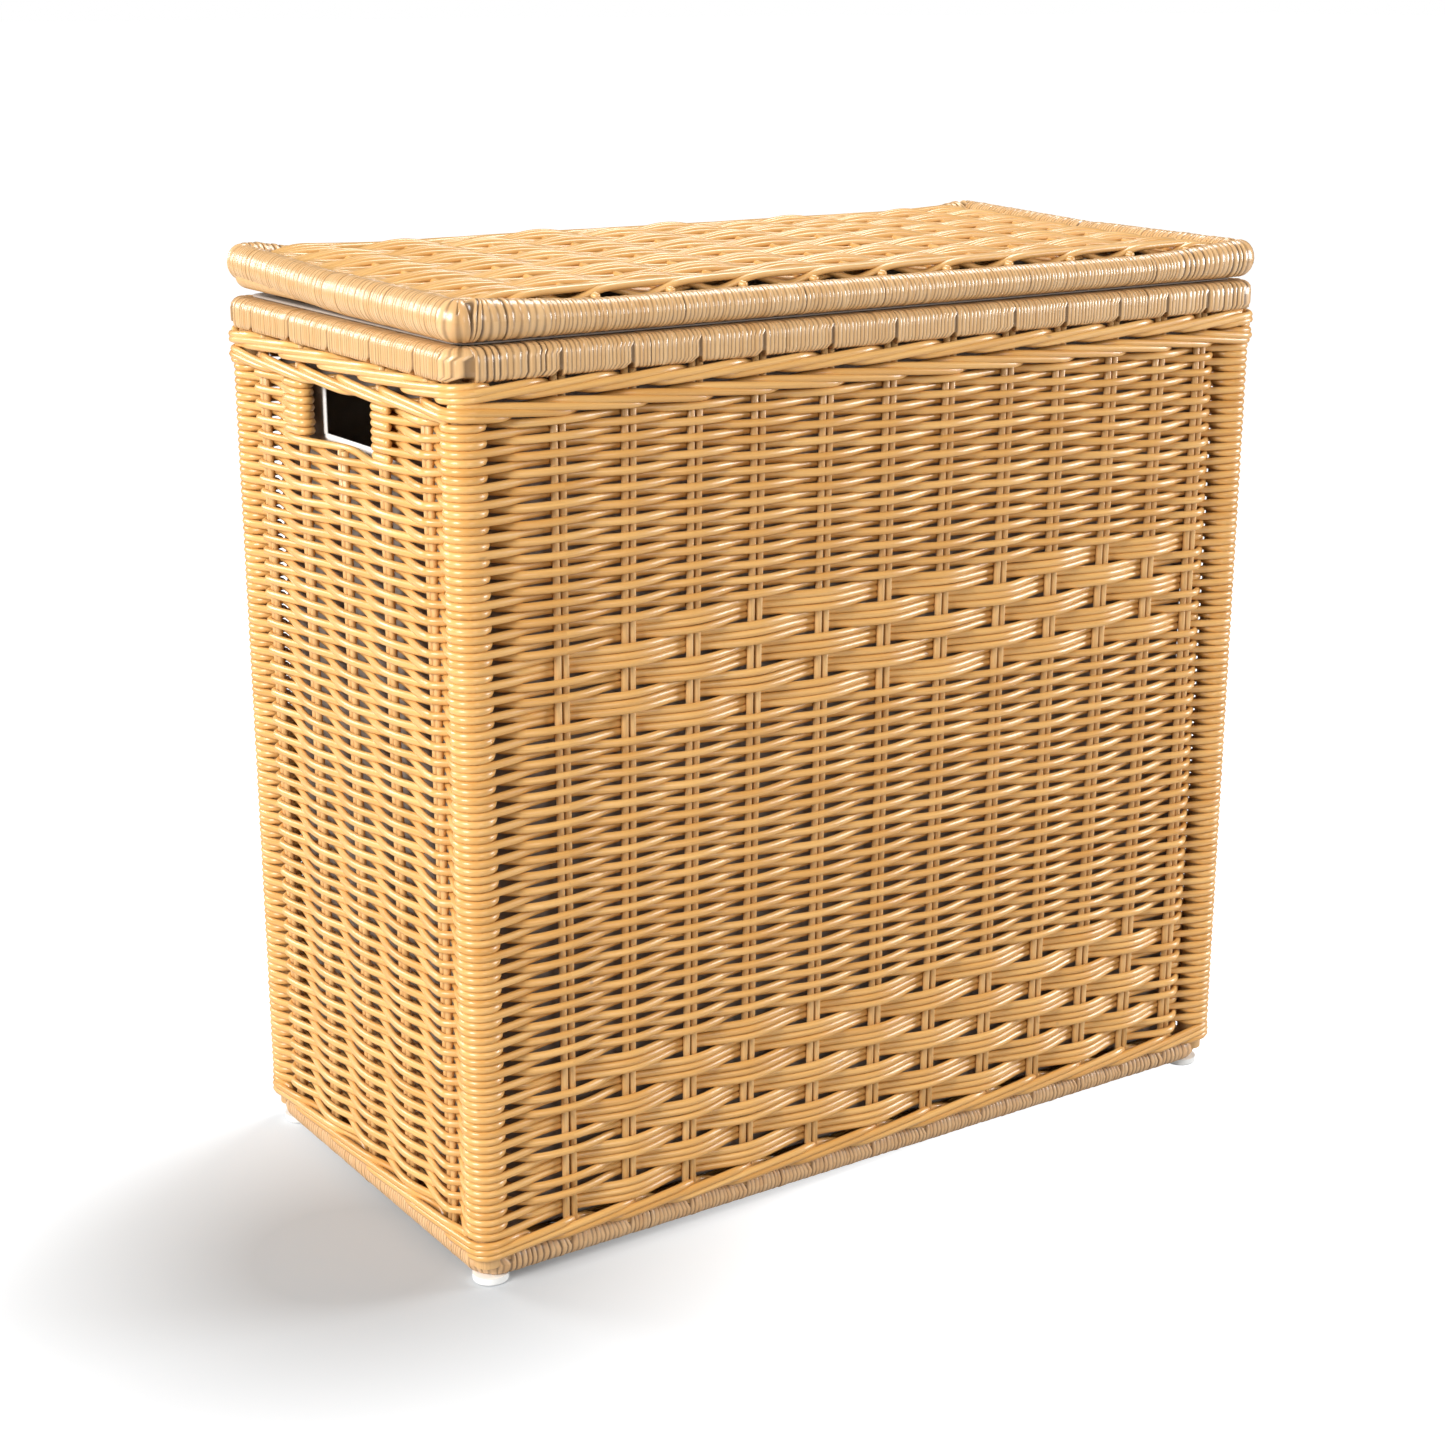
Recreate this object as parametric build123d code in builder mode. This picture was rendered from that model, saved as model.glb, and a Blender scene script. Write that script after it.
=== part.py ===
"""Laundry hamper with lid: a rectangular rattan basket on a bent pole frame, with a woven lid
that swings on two cane loops. Millimetres, +Z up, front towards -Y, origin on the floor under
the middle of the base."""

import os

from build123d import *

os.makedirs("parts", exist_ok=True)

# ---- driving dimensions -------------------------------------------------------------------
wall_half_x, wall_half_y = 294.3, 144.3      # centre plane of the upright stakes
rod_d = 4.5                                  # round reed woven sideways through the walls
stake_r = 2.2                                # upright reeds, set in pairs
stake_gap = 0.8                              # daylight between the two reeds of a pair
post_r = 8.5                                 # corner posts
post_x, post_y = 287.8, 137.8

glide_r, glide_h = 11.0, 4.0                 # plastic feet
nail_r, nail_head_r, nail_len = 1.2, 3.2, 14.0
pole_r = 7.5                                 # bare rattan pole of the base and the lid
cane_t = 1.5                                 # wrapped cane skin on the poles
bound_r = pole_r + cane_t
base_half_x, base_half_y, base_z = 288.0, 138.0, glide_h + bound_r
base_bend_r, bend_r = 12.0, 13.0             # centre-line bends of the base and of rim and lid

rim_half_x, rim_half_y = 292.0, 142.0        # centre line of rim and lid frame
rim_low, rim_high, rim_w = 542.0, 561.0, 19.0
rim_pole_r = 7.0
lid_z = 574.0                                # centre of the lid pole, 4 mm daylight over the rim

base_top = base_z + bound_r
wale_low_z = (19.5, 33.0)                    # single twisted band over the base
weave_z = (29.0 + 4.0, 520.0)                # plain weave between the two twisted bands
wale_high_z = (520.0, 542.0)                 # double twisted band under the rim
wale_out = {"lower_wale": 7.0, "upper_wale": 9.0}    # how far the bands stand off the stake plane

front_stake_x = [-233, -189, -144.5, -101, -51, -3, 42, 89.5, 133, 176, 217, 255]
side_stake_y = [-108, -54, 0, 54, 108]
hole_half, hole_low = 42.0, 484.0            # hand hole in each end wall, up to the twisted band

rib_x = [-250, -200, -150, -100, -50, 0, 50, 100, 150, 200, 250]
rib_r = 2.0
lid_rib_z, floor_rib_z = 581.5, 15.0
lid_weave_t = 12.0
lid_border_w = 13.0
hinge_x, hinge_w, hinge_t = 175.0, 12.0, 1.8

liner_t = 1.2                                # cotton bag inside, hung over the rim
liner_half_x, liner_half_y, liner_corner_r = 284.0, 134.0, 34.0
neck_half_x, neck_half_y, neck_corner_r = 276.8, 126.8, 20.0
liner_low, liner_neck_z = 21.6, (520.0, 540.0)
cuff_half_x, cuff_half_y, cuff_z = 291.0, 141.0, rim_high + 0.2
liner_hole_half, liner_hole_z = 48.0, (485.0, 519.0)

corners = {
    "front_left": (-1, -1),
    "front_right": (1, -1),
    "back_left": (-1, 1),
    "back_right": (1, 1),
}
pair_step = stake_r + stake_gap / 2


def ring_path(half_x, half_y, z, radius):
    """Closed rounded rectangle that a bent pole follows."""
    with BuildSketch(Plane.XY.offset(z), mode=Mode.PRIVATE) as outline:
        RectangleRounded(2 * half_x, 2 * half_y, radius)
    return outline.sketch.face().outer_wire()


# ---- feet ---------------------------------------------------------------------------------
glides, nails = {}, {}
for corner, (side_x, side_y) in corners.items():
    foot = (side_x * (base_half_x - 4), side_y * (base_half_y - 4))
    with BuildPart() as nail:
        with BuildSketch(Plane.XY.offset(1.2)):
            with Locations(foot):
                Circle(nail_head_r)
        extrude(amount=1.3)
        with BuildSketch(Plane.XY.offset(2.5)):
            with Locations(foot):
                Circle(nail_r)
        extrude(amount=nail_len - 2.5)
    nail.part.label = "glide_nail_" + corner
    nails[corner] = nail

    with BuildPart() as glide:
        with BuildSketch():
            with Locations(foot):
                Circle(glide_r)
        extrude(amount=glide_h + 1.0)
        fillet(glide.faces().sort_by(Axis.Z)[0].edges(), 1.6)
        with BuildSketch():
            with Locations(foot):
                Circle(nail_head_r)
        extrude(amount=2.5, mode=Mode.SUBTRACT)
        with BuildSketch():
            with Locations(foot):
                Circle(nail_r)
        extrude(amount=glide_h + 2, mode=Mode.SUBTRACT)
    glide.part.label = "glide_" + corner
    glides[corner] = glide

# ---- base frame: bent pole wrapped in flat cane ---------------------------------------------
with BuildPart() as base_pole:
    with BuildLine():
        add(ring_path(base_half_x, base_half_y, base_z, base_bend_r))
    with BuildSketch(Plane(origin=(0, -base_half_y, base_z), z_dir=(1, 0, 0))):
        Circle(pole_r)
    sweep(transition=Transition.ROUND)
    for corner in corners:
        add(nails[corner].part, mode=Mode.SUBTRACT)
base_pole.part.label = "base_pole"

# ---- floor ribs, woven floor ------------------------------------------------------------------
with BuildPart() as floor_ribs:
    rib_reach = base_half_y - pole_r / 2
    with BuildSketch(Plane.XZ.offset(rib_reach)):
        with Locations(*[(x, floor_rib_z) for x in rib_x]):
            Circle(rib_r)
    extrude(amount=-2 * rib_reach)
    add(base_pole.part, mode=Mode.SUBTRACT)
floor_ribs.part.label = "floor_ribs"

with BuildPart() as base_binding:
    with BuildLine():
        add(ring_path(base_half_x, base_half_y, base_z, base_bend_r))
    with BuildSketch(Plane(origin=(0, -base_half_y, base_z), z_dir=(1, 0, 0))):
        Circle(bound_r)
        Circle(pole_r, mode=Mode.SUBTRACT)
    sweep(transition=Transition.ROUND)
    add(floor_ribs.part, mode=Mode.SUBTRACT)
    for corner in corners:
        add(glides[corner].part, mode=Mode.SUBTRACT)
        add(nails[corner].part, mode=Mode.SUBTRACT)
base_binding.part.label = "base_binding"

with BuildPart() as floor_weave:
    with BuildSketch(Plane.XY.offset(floor_rib_z - lid_weave_t / 2)):
        RectangleRounded(2 * (base_half_x - 3), 2 * (base_half_y - 3), base_bend_r - 3)
    extrude(amount=lid_weave_t)
    add(floor_ribs.part, mode=Mode.SUBTRACT)
    add(base_binding.part, mode=Mode.SUBTRACT)
    add(base_pole.part, mode=Mode.SUBTRACT)
floor_weave.part.label = "floor_weave"

# ---- corner posts and the reed coiled round them ----------------------------------------------
posts, coils = {}, {}
for corner, (side_x, side_y) in corners.items():
    with BuildPart() as post:
        with BuildSketch(Plane.XY.offset(base_z)):
            with Locations((side_x * post_x, side_y * post_y)):
                Circle(post_r)
        extrude(amount=rim_low - base_z)
        add(base_pole.part, mode=Mode.SUBTRACT)
        add(base_binding.part, mode=Mode.SUBTRACT)
        add(floor_weave.part, mode=Mode.SUBTRACT)
    post.part = post.part.solids().sort_by(SortBy.VOLUME)[-1]
    posts[corner] = post

    with BuildPart() as coil:
        with BuildSketch(Plane.XY.offset(weave_z[0])):
            with Locations((side_x * post_x, side_y * post_y)):
                Circle(post_r + rod_d + 0.2)
                Circle(post_r, mode=Mode.SUBTRACT)
        extrude(amount=weave_z[1] - weave_z[0])
    coil.part.label = "corner_weave_" + corner
    coils[corner] = coil

# ---- upright reeds in pairs --------------------------------------------------------------------
stake_low, stake_high = base_z + 2.5, rim_low
stakes = {}
for wall, side_y in (("front", -1), ("back", 1)):
    with BuildPart() as upright:
        with BuildSketch(Plane.XY.offset(stake_low)):
            pairs = [x + step for x in front_stake_x for step in (-pair_step, pair_step)]
            with Locations(*[(x, side_y * wall_half_y) for x in pairs]):
                Circle(stake_r)
        extrude(amount=stake_high - stake_low)
        add(base_binding.part, mode=Mode.SUBTRACT)
        add(base_pole.part, mode=Mode.SUBTRACT)
    upright.part.label = wall + "_stakes"
    stakes[wall] = upright

for wall, side_x in (("left", -1), ("right", 1)):
    with BuildPart() as upright:
        with BuildSketch(Plane.XY.offset(stake_low)):
            pairs = [y + step for y in side_stake_y for step in (-pair_step, pair_step)]
            with Locations(*[(side_x * wall_half_x, y) for y in pairs]):
                Circle(stake_r)
        extrude(amount=stake_high - stake_low)
        with BuildSketch(Plane.XY.offset(hole_low)):
            with Locations((side_x * wall_half_x, 0)):
                Rectangle(20, 4 * stake_r + 4)
        extrude(amount=wale_high_z[0] - hole_low, mode=Mode.SUBTRACT)
        add(base_binding.part, mode=Mode.SUBTRACT)
        add(base_pole.part, mode=Mode.SUBTRACT)
    upright.part.label = wall + "_stakes"
    stakes[wall] = upright

# ---- woven walls, pierced by the uprights ------------------------------------------------------
wall_t = 2 * (stake_r + rod_d)
weaves = {}
for wall, side_y in (("front", -1), ("back", 1)):
    with BuildPart() as panel:
        with BuildSketch(Plane.XY.offset(weave_z[0])):
            with Locations((0, side_y * wall_half_y)):
                Rectangle(2 * (post_x - 8), wall_t)
        extrude(amount=weave_z[1] - weave_z[0])
        add(stakes[wall].part, mode=Mode.SUBTRACT)
        for corner in corners:
            add(coils[corner].part, mode=Mode.SUBTRACT)
            add(posts[corner].part, mode=Mode.SUBTRACT)
    panel.part.label = wall + "_weave"
    weaves[wall] = panel

for wall, side_x in (("left", -1), ("right", 1)):
    with BuildPart() as panel:
        with BuildSketch(Plane.XY.offset(weave_z[0])):
            with Locations((side_x * wall_half_x, 0)):
                Rectangle(wall_t, 2 * (post_y - 8))
        extrude(amount=weave_z[1] - weave_z[0])
        with BuildSketch(Plane.XY.offset(hole_low)):
            with Locations((side_x * wall_half_x, 0)):
                Rectangle(wall_t + 4, 2 * hole_half)
        extrude(amount=weave_z[1] - hole_low, mode=Mode.SUBTRACT)
        add(stakes[wall].part, mode=Mode.SUBTRACT)
        for corner in corners:
            add(coils[corner].part, mode=Mode.SUBTRACT)
            add(posts[corner].part, mode=Mode.SUBTRACT)
    panel.part.label = wall + "_weave"
    weaves[wall] = panel

# ---- twisted bands above and below the plain weave ----------------------------------------------
wales = {}
for name, (low, high) in (("lower_wale", wale_low_z), ("upper_wale", wale_high_z)):
    with BuildPart() as band:
        with BuildSketch(Plane.XY.offset(low)):
            RectangleRounded(2 * (wall_half_x + wale_out[name]), 2 * (wall_half_y + wale_out[name]), 15.5)
            RectangleRounded(2 * (wall_half_x - 6.7), 2 * (wall_half_y - 6.7), 5, mode=Mode.SUBTRACT)
        extrude(amount=high - low)
        for wall in stakes:
            add(stakes[wall].part, mode=Mode.SUBTRACT)
        for corner in corners:
            add(posts[corner].part, mode=Mode.SUBTRACT)
        add(base_binding.part, mode=Mode.SUBTRACT)
        add(base_pole.part, mode=Mode.SUBTRACT)
        add(floor_weave.part, mode=Mode.SUBTRACT)
    band.part.label = name
    wales[name] = band

# ---- rim: a bent pole under a wrapped skin with flat flanks ---------------------------------------
rim_z = rim_high - rim_w / 2
with BuildPart() as rim_pole:
    with BuildLine():
        add(ring_path(rim_half_x, rim_half_y, rim_z, bend_r))
    with BuildSketch(Plane(origin=(0, -rim_half_y, rim_z), z_dir=(1, 0, 0))):
        Circle(rim_pole_r)
    sweep(transition=Transition.ROUND)
rim_pole.part.label = "rim_pole"

with BuildPart() as rim_binding:
    with BuildSketch(Plane.XY.offset(rim_low)):
        RectangleRounded(2 * rim_half_x + rim_w, 2 * rim_half_y + rim_w, bend_r + rim_w / 2)
        RectangleRounded(2 * rim_half_x - rim_w, 2 * rim_half_y - rim_w, bend_r - rim_w / 2, mode=Mode.SUBTRACT)
    extrude(amount=rim_w)
    fillet(rim_binding.faces().sort_by(Axis.Z)[-1].edges(), 6.0)
    add(rim_pole.part, mode=Mode.SUBTRACT)
rim_binding.part.label = "rim_binding"

# ---- lid frame, ribs and weave --------------------------------------------------------------------
with BuildPart() as lid_pole:
    with BuildLine():
        add(ring_path(rim_half_x, rim_half_y, lid_z, bend_r))
    with BuildSketch(Plane(origin=(0, -rim_half_y, lid_z), z_dir=(1, 0, 0))):
        Circle(pole_r)
    sweep(transition=Transition.ROUND)
lid_pole.part.label = "lid_pole"

with BuildPart() as lid_ribs:
    rib_reach = rim_half_y - 4.0
    with BuildSketch(Plane.XZ.offset(rib_reach)):
        with Locations(*[(x, lid_rib_z) for x in rib_x]):
            Circle(rib_r)
    extrude(amount=-2 * rib_reach)
    add(lid_pole.part, mode=Mode.SUBTRACT)
lid_ribs.part.label = "lid_ribs"

with BuildPart() as lid_binding:
    with BuildLine():
        add(ring_path(rim_half_x, rim_half_y, lid_z, bend_r))
    with BuildSketch(Plane(origin=(0, -rim_half_y, lid_z), z_dir=(1, 0, 0))):
        Circle(bound_r)
        Circle(pole_r, mode=Mode.SUBTRACT)
    sweep(transition=Transition.ROUND)
    add(lid_ribs.part, mode=Mode.SUBTRACT)
lid_binding.part.label = "lid_binding"

lid_low = lid_rib_z - lid_weave_t / 2
inner_x, inner_y = rim_half_x - bound_r - lid_border_w, rim_half_y - bound_r - lid_border_w
with BuildPart() as lid_weave:
    with BuildSketch(Plane.XY.offset(lid_low)):
        Rectangle(2 * inner_x, 2 * inner_y)
    extrude(amount=lid_weave_t)
    add(lid_ribs.part, mode=Mode.SUBTRACT)
lid_weave.part.label = "lid_weave"

with BuildPart() as lid_border:
    with BuildSketch(Plane.XY.offset(lid_low)):
        RectangleRounded(2 * (rim_half_x - 4), 2 * (rim_half_y - 4), bend_r - 4)
        Rectangle(2 * inner_x, 2 * inner_y, mode=Mode.SUBTRACT)
    extrude(amount=lid_weave_t - 1.0)
    add(lid_ribs.part, mode=Mode.SUBTRACT)
    add(lid_pole.part, mode=Mode.SUBTRACT)
    add(lid_binding.part, mode=Mode.SUBTRACT)
    with BuildSketch(Plane.XY.offset(lid_low - 1)):
        with Locations((-hinge_x, rim_half_y - 6), (hinge_x, rim_half_y - 6)):
            Rectangle(hinge_w + 4, 14)
    extrude(amount=lid_weave_t + 2, mode=Mode.SUBTRACT)
lid_border.part.label = "lid_border"

# ---- cane loops the lid's back pole turns in --------------------------------------------------------
loops = {}
loop_in = rim_w / 2
for name, side in (("left", -1), ("right", 1)):
    with BuildPart() as loop:
        with BuildSketch(Plane.YZ.offset(side * hinge_x - hinge_w / 2)):
            with Locations((rim_half_y, lid_z)):
                Circle(loop_in + hinge_t)
            with Locations((rim_half_y, (lid_z + rim_low + 3) / 2)):
                Rectangle(2 * (loop_in + hinge_t), lid_z - rim_low - 3)
                Rectangle(2 * loop_in, lid_z - rim_low - 3, mode=Mode.SUBTRACT)
            with Locations((rim_half_y, lid_z)):
                Circle(loop_in, mode=Mode.SUBTRACT)
        extrude(amount=hinge_w)
    loop.part.label = "hinge_loop_" + name
    loops[name] = loop

# ---- cotton liner: a bag that hangs in the basket, its edge folded out over the rim -------------------
neck_low, neck_high = liner_neck_z
with BuildPart() as liner:
    for inset, top, mode in ((0, cuff_z, Mode.ADD), (liner_t, cuff_z + 3, Mode.SUBTRACT)):
        bag_size = (2 * (liner_half_x - inset), 2 * (liner_half_y - inset), liner_corner_r - inset)
        neck_size = (2 * (neck_half_x - inset), 2 * (neck_half_y - inset), neck_corner_r - inset)
        with BuildSketch(Plane.XY.offset(liner_low + inset)):
            RectangleRounded(*bag_size)
        extrude(amount=neck_low - liner_low - inset, mode=mode)
        with BuildSketch(Plane.XY.offset(neck_low)):
            RectangleRounded(*bag_size)
        with BuildSketch(Plane.XY.offset(neck_high)):
            RectangleRounded(*neck_size)
        loft(mode=mode)
        with BuildSketch(Plane.XY.offset(neck_high)):
            RectangleRounded(*neck_size)
        extrude(amount=top - neck_high, mode=mode)
    with BuildSketch(Plane.XY.offset(cuff_z)):
        RectangleRounded(2 * cuff_half_x, 2 * cuff_half_y, bend_r)
        RectangleRounded(2 * (neck_half_x - liner_t), 2 * (neck_half_y - liner_t),
                         neck_corner_r - liner_t, mode=Mode.SUBTRACT)
        with Locations((-hinge_x, cuff_half_y), (hinge_x, cuff_half_y)):
            Rectangle(hinge_w + 4, 2 * (cuff_half_y - neck_half_y), mode=Mode.SUBTRACT)
    extrude(amount=liner_t)
    with BuildSketch(Plane.YZ.offset(-liner_half_x - 5)):
        with Locations((0, sum(liner_hole_z) / 2)):
            Rectangle(2 * liner_hole_half, liner_hole_z[1] - liner_hole_z[0])
    extrude(amount=2 * liner_half_x + 10, mode=Mode.SUBTRACT)
liner.part.label = "liner"

# ---- one file per piece -------------------------------------------------------------------------------
for corner in corners:
    posts[corner].part.label = "corner_post_" + corner

pieces = [base_pole, base_binding, floor_ribs, floor_weave, rim_pole, rim_binding]
pieces += [lid_pole, lid_binding, lid_ribs, lid_weave, lid_border, liner]
for group in (glides, nails, posts, coils, stakes, weaves, wales, loops):
    pieces += group.values()
for piece in pieces:
    export_step(piece.part, "parts/" + piece.part.label + ".step")
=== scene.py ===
# %% [markdown]
# # A laundry hamper of woven rattan
# The frame of this hamper (poles, posts, feet, nails) comes from the CAD model. What makes it a
# basket is the weave: about a hundred rows of round reed, laced in front of and behind upright
# stakes, two kinds of twisted band, and flat cane wound round every pole. A weave could be
# painted on with a bump map, but its gaps, its depth at the corners and its outline are real,
# so here each reed is a real tube whose path is worked out with numpy.

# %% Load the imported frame
import math

import bpy
import numpy as np
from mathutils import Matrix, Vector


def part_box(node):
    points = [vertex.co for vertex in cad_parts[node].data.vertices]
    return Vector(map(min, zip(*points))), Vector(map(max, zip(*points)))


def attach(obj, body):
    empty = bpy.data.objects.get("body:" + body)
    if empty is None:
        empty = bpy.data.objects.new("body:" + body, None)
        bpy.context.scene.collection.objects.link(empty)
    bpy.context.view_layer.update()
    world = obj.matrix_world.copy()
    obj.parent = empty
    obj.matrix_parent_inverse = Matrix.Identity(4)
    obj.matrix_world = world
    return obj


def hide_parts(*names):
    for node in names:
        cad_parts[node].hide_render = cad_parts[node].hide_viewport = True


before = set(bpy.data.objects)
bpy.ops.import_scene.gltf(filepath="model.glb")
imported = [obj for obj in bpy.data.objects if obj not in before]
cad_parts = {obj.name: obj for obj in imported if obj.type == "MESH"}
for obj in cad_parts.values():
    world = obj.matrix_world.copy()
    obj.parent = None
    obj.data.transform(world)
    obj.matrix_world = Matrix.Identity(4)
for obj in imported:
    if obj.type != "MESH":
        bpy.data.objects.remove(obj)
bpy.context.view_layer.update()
rng = np.random.default_rng(24)
MM = 0.001
TAU = 2 * math.pi


def span(node):
    """Lowest and highest corner of a CAD node, as two arrays in metres."""
    low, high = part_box(node)
    return np.array(low), np.array(high)


# %% [markdown]
# ## Where everything is
# The sizes of the frame are read from the CAD nodes, so the weave lands on the poles without
# any fitting by eye. Only the spacing of the stakes is typed in again, because all the stakes of
# a wall are one node.

# %% Sizes taken from the frame
post_low, post_high = span("corner_post_front_right")
post_x, post_y = ((post_low + post_high) / 2)[:2] * (1, -1)
post_r = (post_high - post_low)[0] / 2
stake_low, stake_high = span("front_stakes")
wall_y = -(stake_low[1] + stake_high[1]) / 2
wall_x = abs(span("left_stakes")[0][0] + span("left_stakes")[1][0]) / 2
stake_r = (stake_high[1] - stake_low[1]) / 2
weave_low, weave_high = span("front_weave")[0][2], span("front_weave")[1][2]
hole_low = 484 * MM
rim_low, rim_high = span("rim_binding")
lid_low, lid_high = span("lid_binding")
base_low, base_high = span("base_binding")

reed_r = 2.25 * MM                      # half the depth of a reed; it is pressed a little flat,
reed_high = 2.5 * MM                    # so it is taller than deep
pair_step = stake_r + 0.4 * MM
lace = stake_r + 2.1 * MM               # how far a reed's centre stands off the stakes' centre

FRONT_TOP = np.array([-232, -186, -141, -97, -48, -1, 44.5, 91, 133, 178, 219, 255]) * MM
FRONT_LEAN = np.array([-2, -6, -7, -8, -6, -4, -4.5, -3, 0, -4, -4, 0]) * MM
SIDE_AT = np.array([-108, -54, 0, 54, 108]) * MM
RIB_AT = np.arange(-5, 6) * 50 * MM
print("posts at", post_x, post_y, "stake plane", wall_x, wall_y, "weave", weave_low, weave_high)

# %% [markdown]
# ## Camera, floor and soft light
# A plain studio with five soft lamps: a broad one on the left, one on the right that puts the
# satin streaks on the reeds, one near the camera, one above and one behind. The world is white to
# the camera but gives the object little light. The floor is grey to the light and glows white to
# the camera only; the glow fades close to the left of the base, which is a painted shadow there,
# added to the shadow the lamps cast.

# %% Camera, floor and lights
scene = bpy.context.scene
scene.view_settings.view_transform = "Standard"

camera_data = bpy.data.cameras.new("camera")
camera_data.sensor_width, camera_data.lens = 36.0, 61.8
camera = bpy.data.objects.new("camera", camera_data)
camera.location = (-0.917, -1.322, 0.744)
camera.rotation_euler = (math.radians(73.56), 0.0, math.radians(-34.0))
scene.collection.objects.link(camera)
scene.camera = camera

world = bpy.data.worlds.new("studio")
scene.world = world
world.use_nodes = True
sky, sky_links = world.node_tree.nodes, world.node_tree.links
sky["Background"].inputs["Color"].default_value = (1.0, 0.99, 0.975, 1)
sky["Background"].inputs["Strength"].default_value = 0.14
backdrop = sky.new("ShaderNodeBackground")
backdrop.inputs["Color"].default_value = (1, 1, 1, 1)
either = sky.new("ShaderNodeMixShader")
sky_links.new(sky.new("ShaderNodeLightPath").outputs["Is Camera Ray"], either.inputs[0])
sky_links.new(sky["Background"].outputs[0], either.inputs[1])
sky_links.new(backdrop.outputs[0], either.inputs[2])
sky_links.new(either.outputs[0], sky["World Output"].inputs["Surface"])


def lamp(name, place, aim, size, power, tint=(1.0, 1.0, 1.0)):
    """A square soft lamp at place, turned to face aim."""
    data = bpy.data.lights.new(name, "AREA")
    data.size, data.energy, data.color = size, power, tint
    thing = bpy.data.objects.new(name, data)
    thing.location = place
    away = np.array(place) - np.array(aim)
    flat = math.hypot(away[0], away[1])
    thing.rotation_euler = (math.atan2(flat, away[2]), 0.0, math.atan2(away[0], -away[1]))
    scene.collection.objects.link(thing)


def new_paint(name, **values):
    """A Principled material with some inputs set: the material, its nodes, links and shader."""
    paint = bpy.data.materials.new(name)
    paint.use_nodes = True
    nodes, links = paint.node_tree.nodes, paint.node_tree.links
    for key, value in values.items():
        nodes["Principled BSDF"].inputs[key.replace("_", " ")].default_value = value
    return paint, nodes, links, nodes["Principled BSDF"]


lamp("lamp_left", (-2.5, -0.6, 1.4), (0, 0, 0.35), 1.1, 92, (1.0, 0.985, 0.96))
lamp("lamp_right", (2.3, -1.1, 0.9), (0, 0, 0.3), 0.9, 55)
lamp("lamp_front", (-0.2, -3.0, 1.2), (0, 0, 0.3), 1.0, 19)
lamp("lamp_top", (0.9, 0.4, 2.3), (0, 0, 0.4), 0.9, 34)
lamp("lamp_back", (-1.7, 2.2, 1.3), (-0.2, 0, 0.4), 1.0, 40)

floor_mesh = bpy.data.meshes.new("floor")
floor_mesh.from_pydata([(-60, -60, 0), (60, -60, 0), (60, 60, 0), (-60, 60, 0)], [], [(0, 1, 2, 3)])
floor = bpy.data.objects.new("floor", floor_mesh)
scene.collection.objects.link(floor)
floor_paint, floor_nodes, floor_links, floor_shader = new_paint(
    "floor_paint", Base_Color=(0.45, 0.47, 0.49, 1), Roughness=0.8, Specular_IOR_Level=0.2,
    Emission_Color=(1, 1, 1, 1))
# Painted shadow: the floor's camera-only glow is nil within 6 cm of a point left of the base, (-0.34,
# -0.06), and full beyond 42 cm.
floor_at = floor_nodes.new("ShaderNodeTexCoord")
far_off = floor_nodes.new("ShaderNodeVectorMath")
far_off.operation = "DISTANCE"
far_off.inputs[1].default_value = (-0.34, -0.06, 0)
floor_links.new(floor_at.outputs["Object"], far_off.inputs[0])
glow_with_painted_shadow = floor_nodes.new("ShaderNodeMapRange")
glow_with_painted_shadow.inputs["From Min"].default_value, glow_with_painted_shadow.inputs["From Max"].default_value = 0.06, 0.42
glow_with_painted_shadow.inputs["To Min"].default_value, glow_with_painted_shadow.inputs["To Max"].default_value = 0.0, 1.0
floor_links.new(far_off.outputs["Value"], glow_with_painted_shadow.inputs["Value"])
seen = floor_nodes.new("ShaderNodeMath")
seen.operation = "MULTIPLY"
floor_links.new(floor_nodes.new("ShaderNodeLightPath").outputs["Is Camera Ray"], seen.inputs[0])
floor_links.new(glow_with_painted_shadow.outputs["Result"], seen.inputs[1])
floor_links.new(seen.outputs["Value"], floor_shader.inputs["Emission Strength"])
floor_mesh.materials.append(floor_paint)
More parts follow.
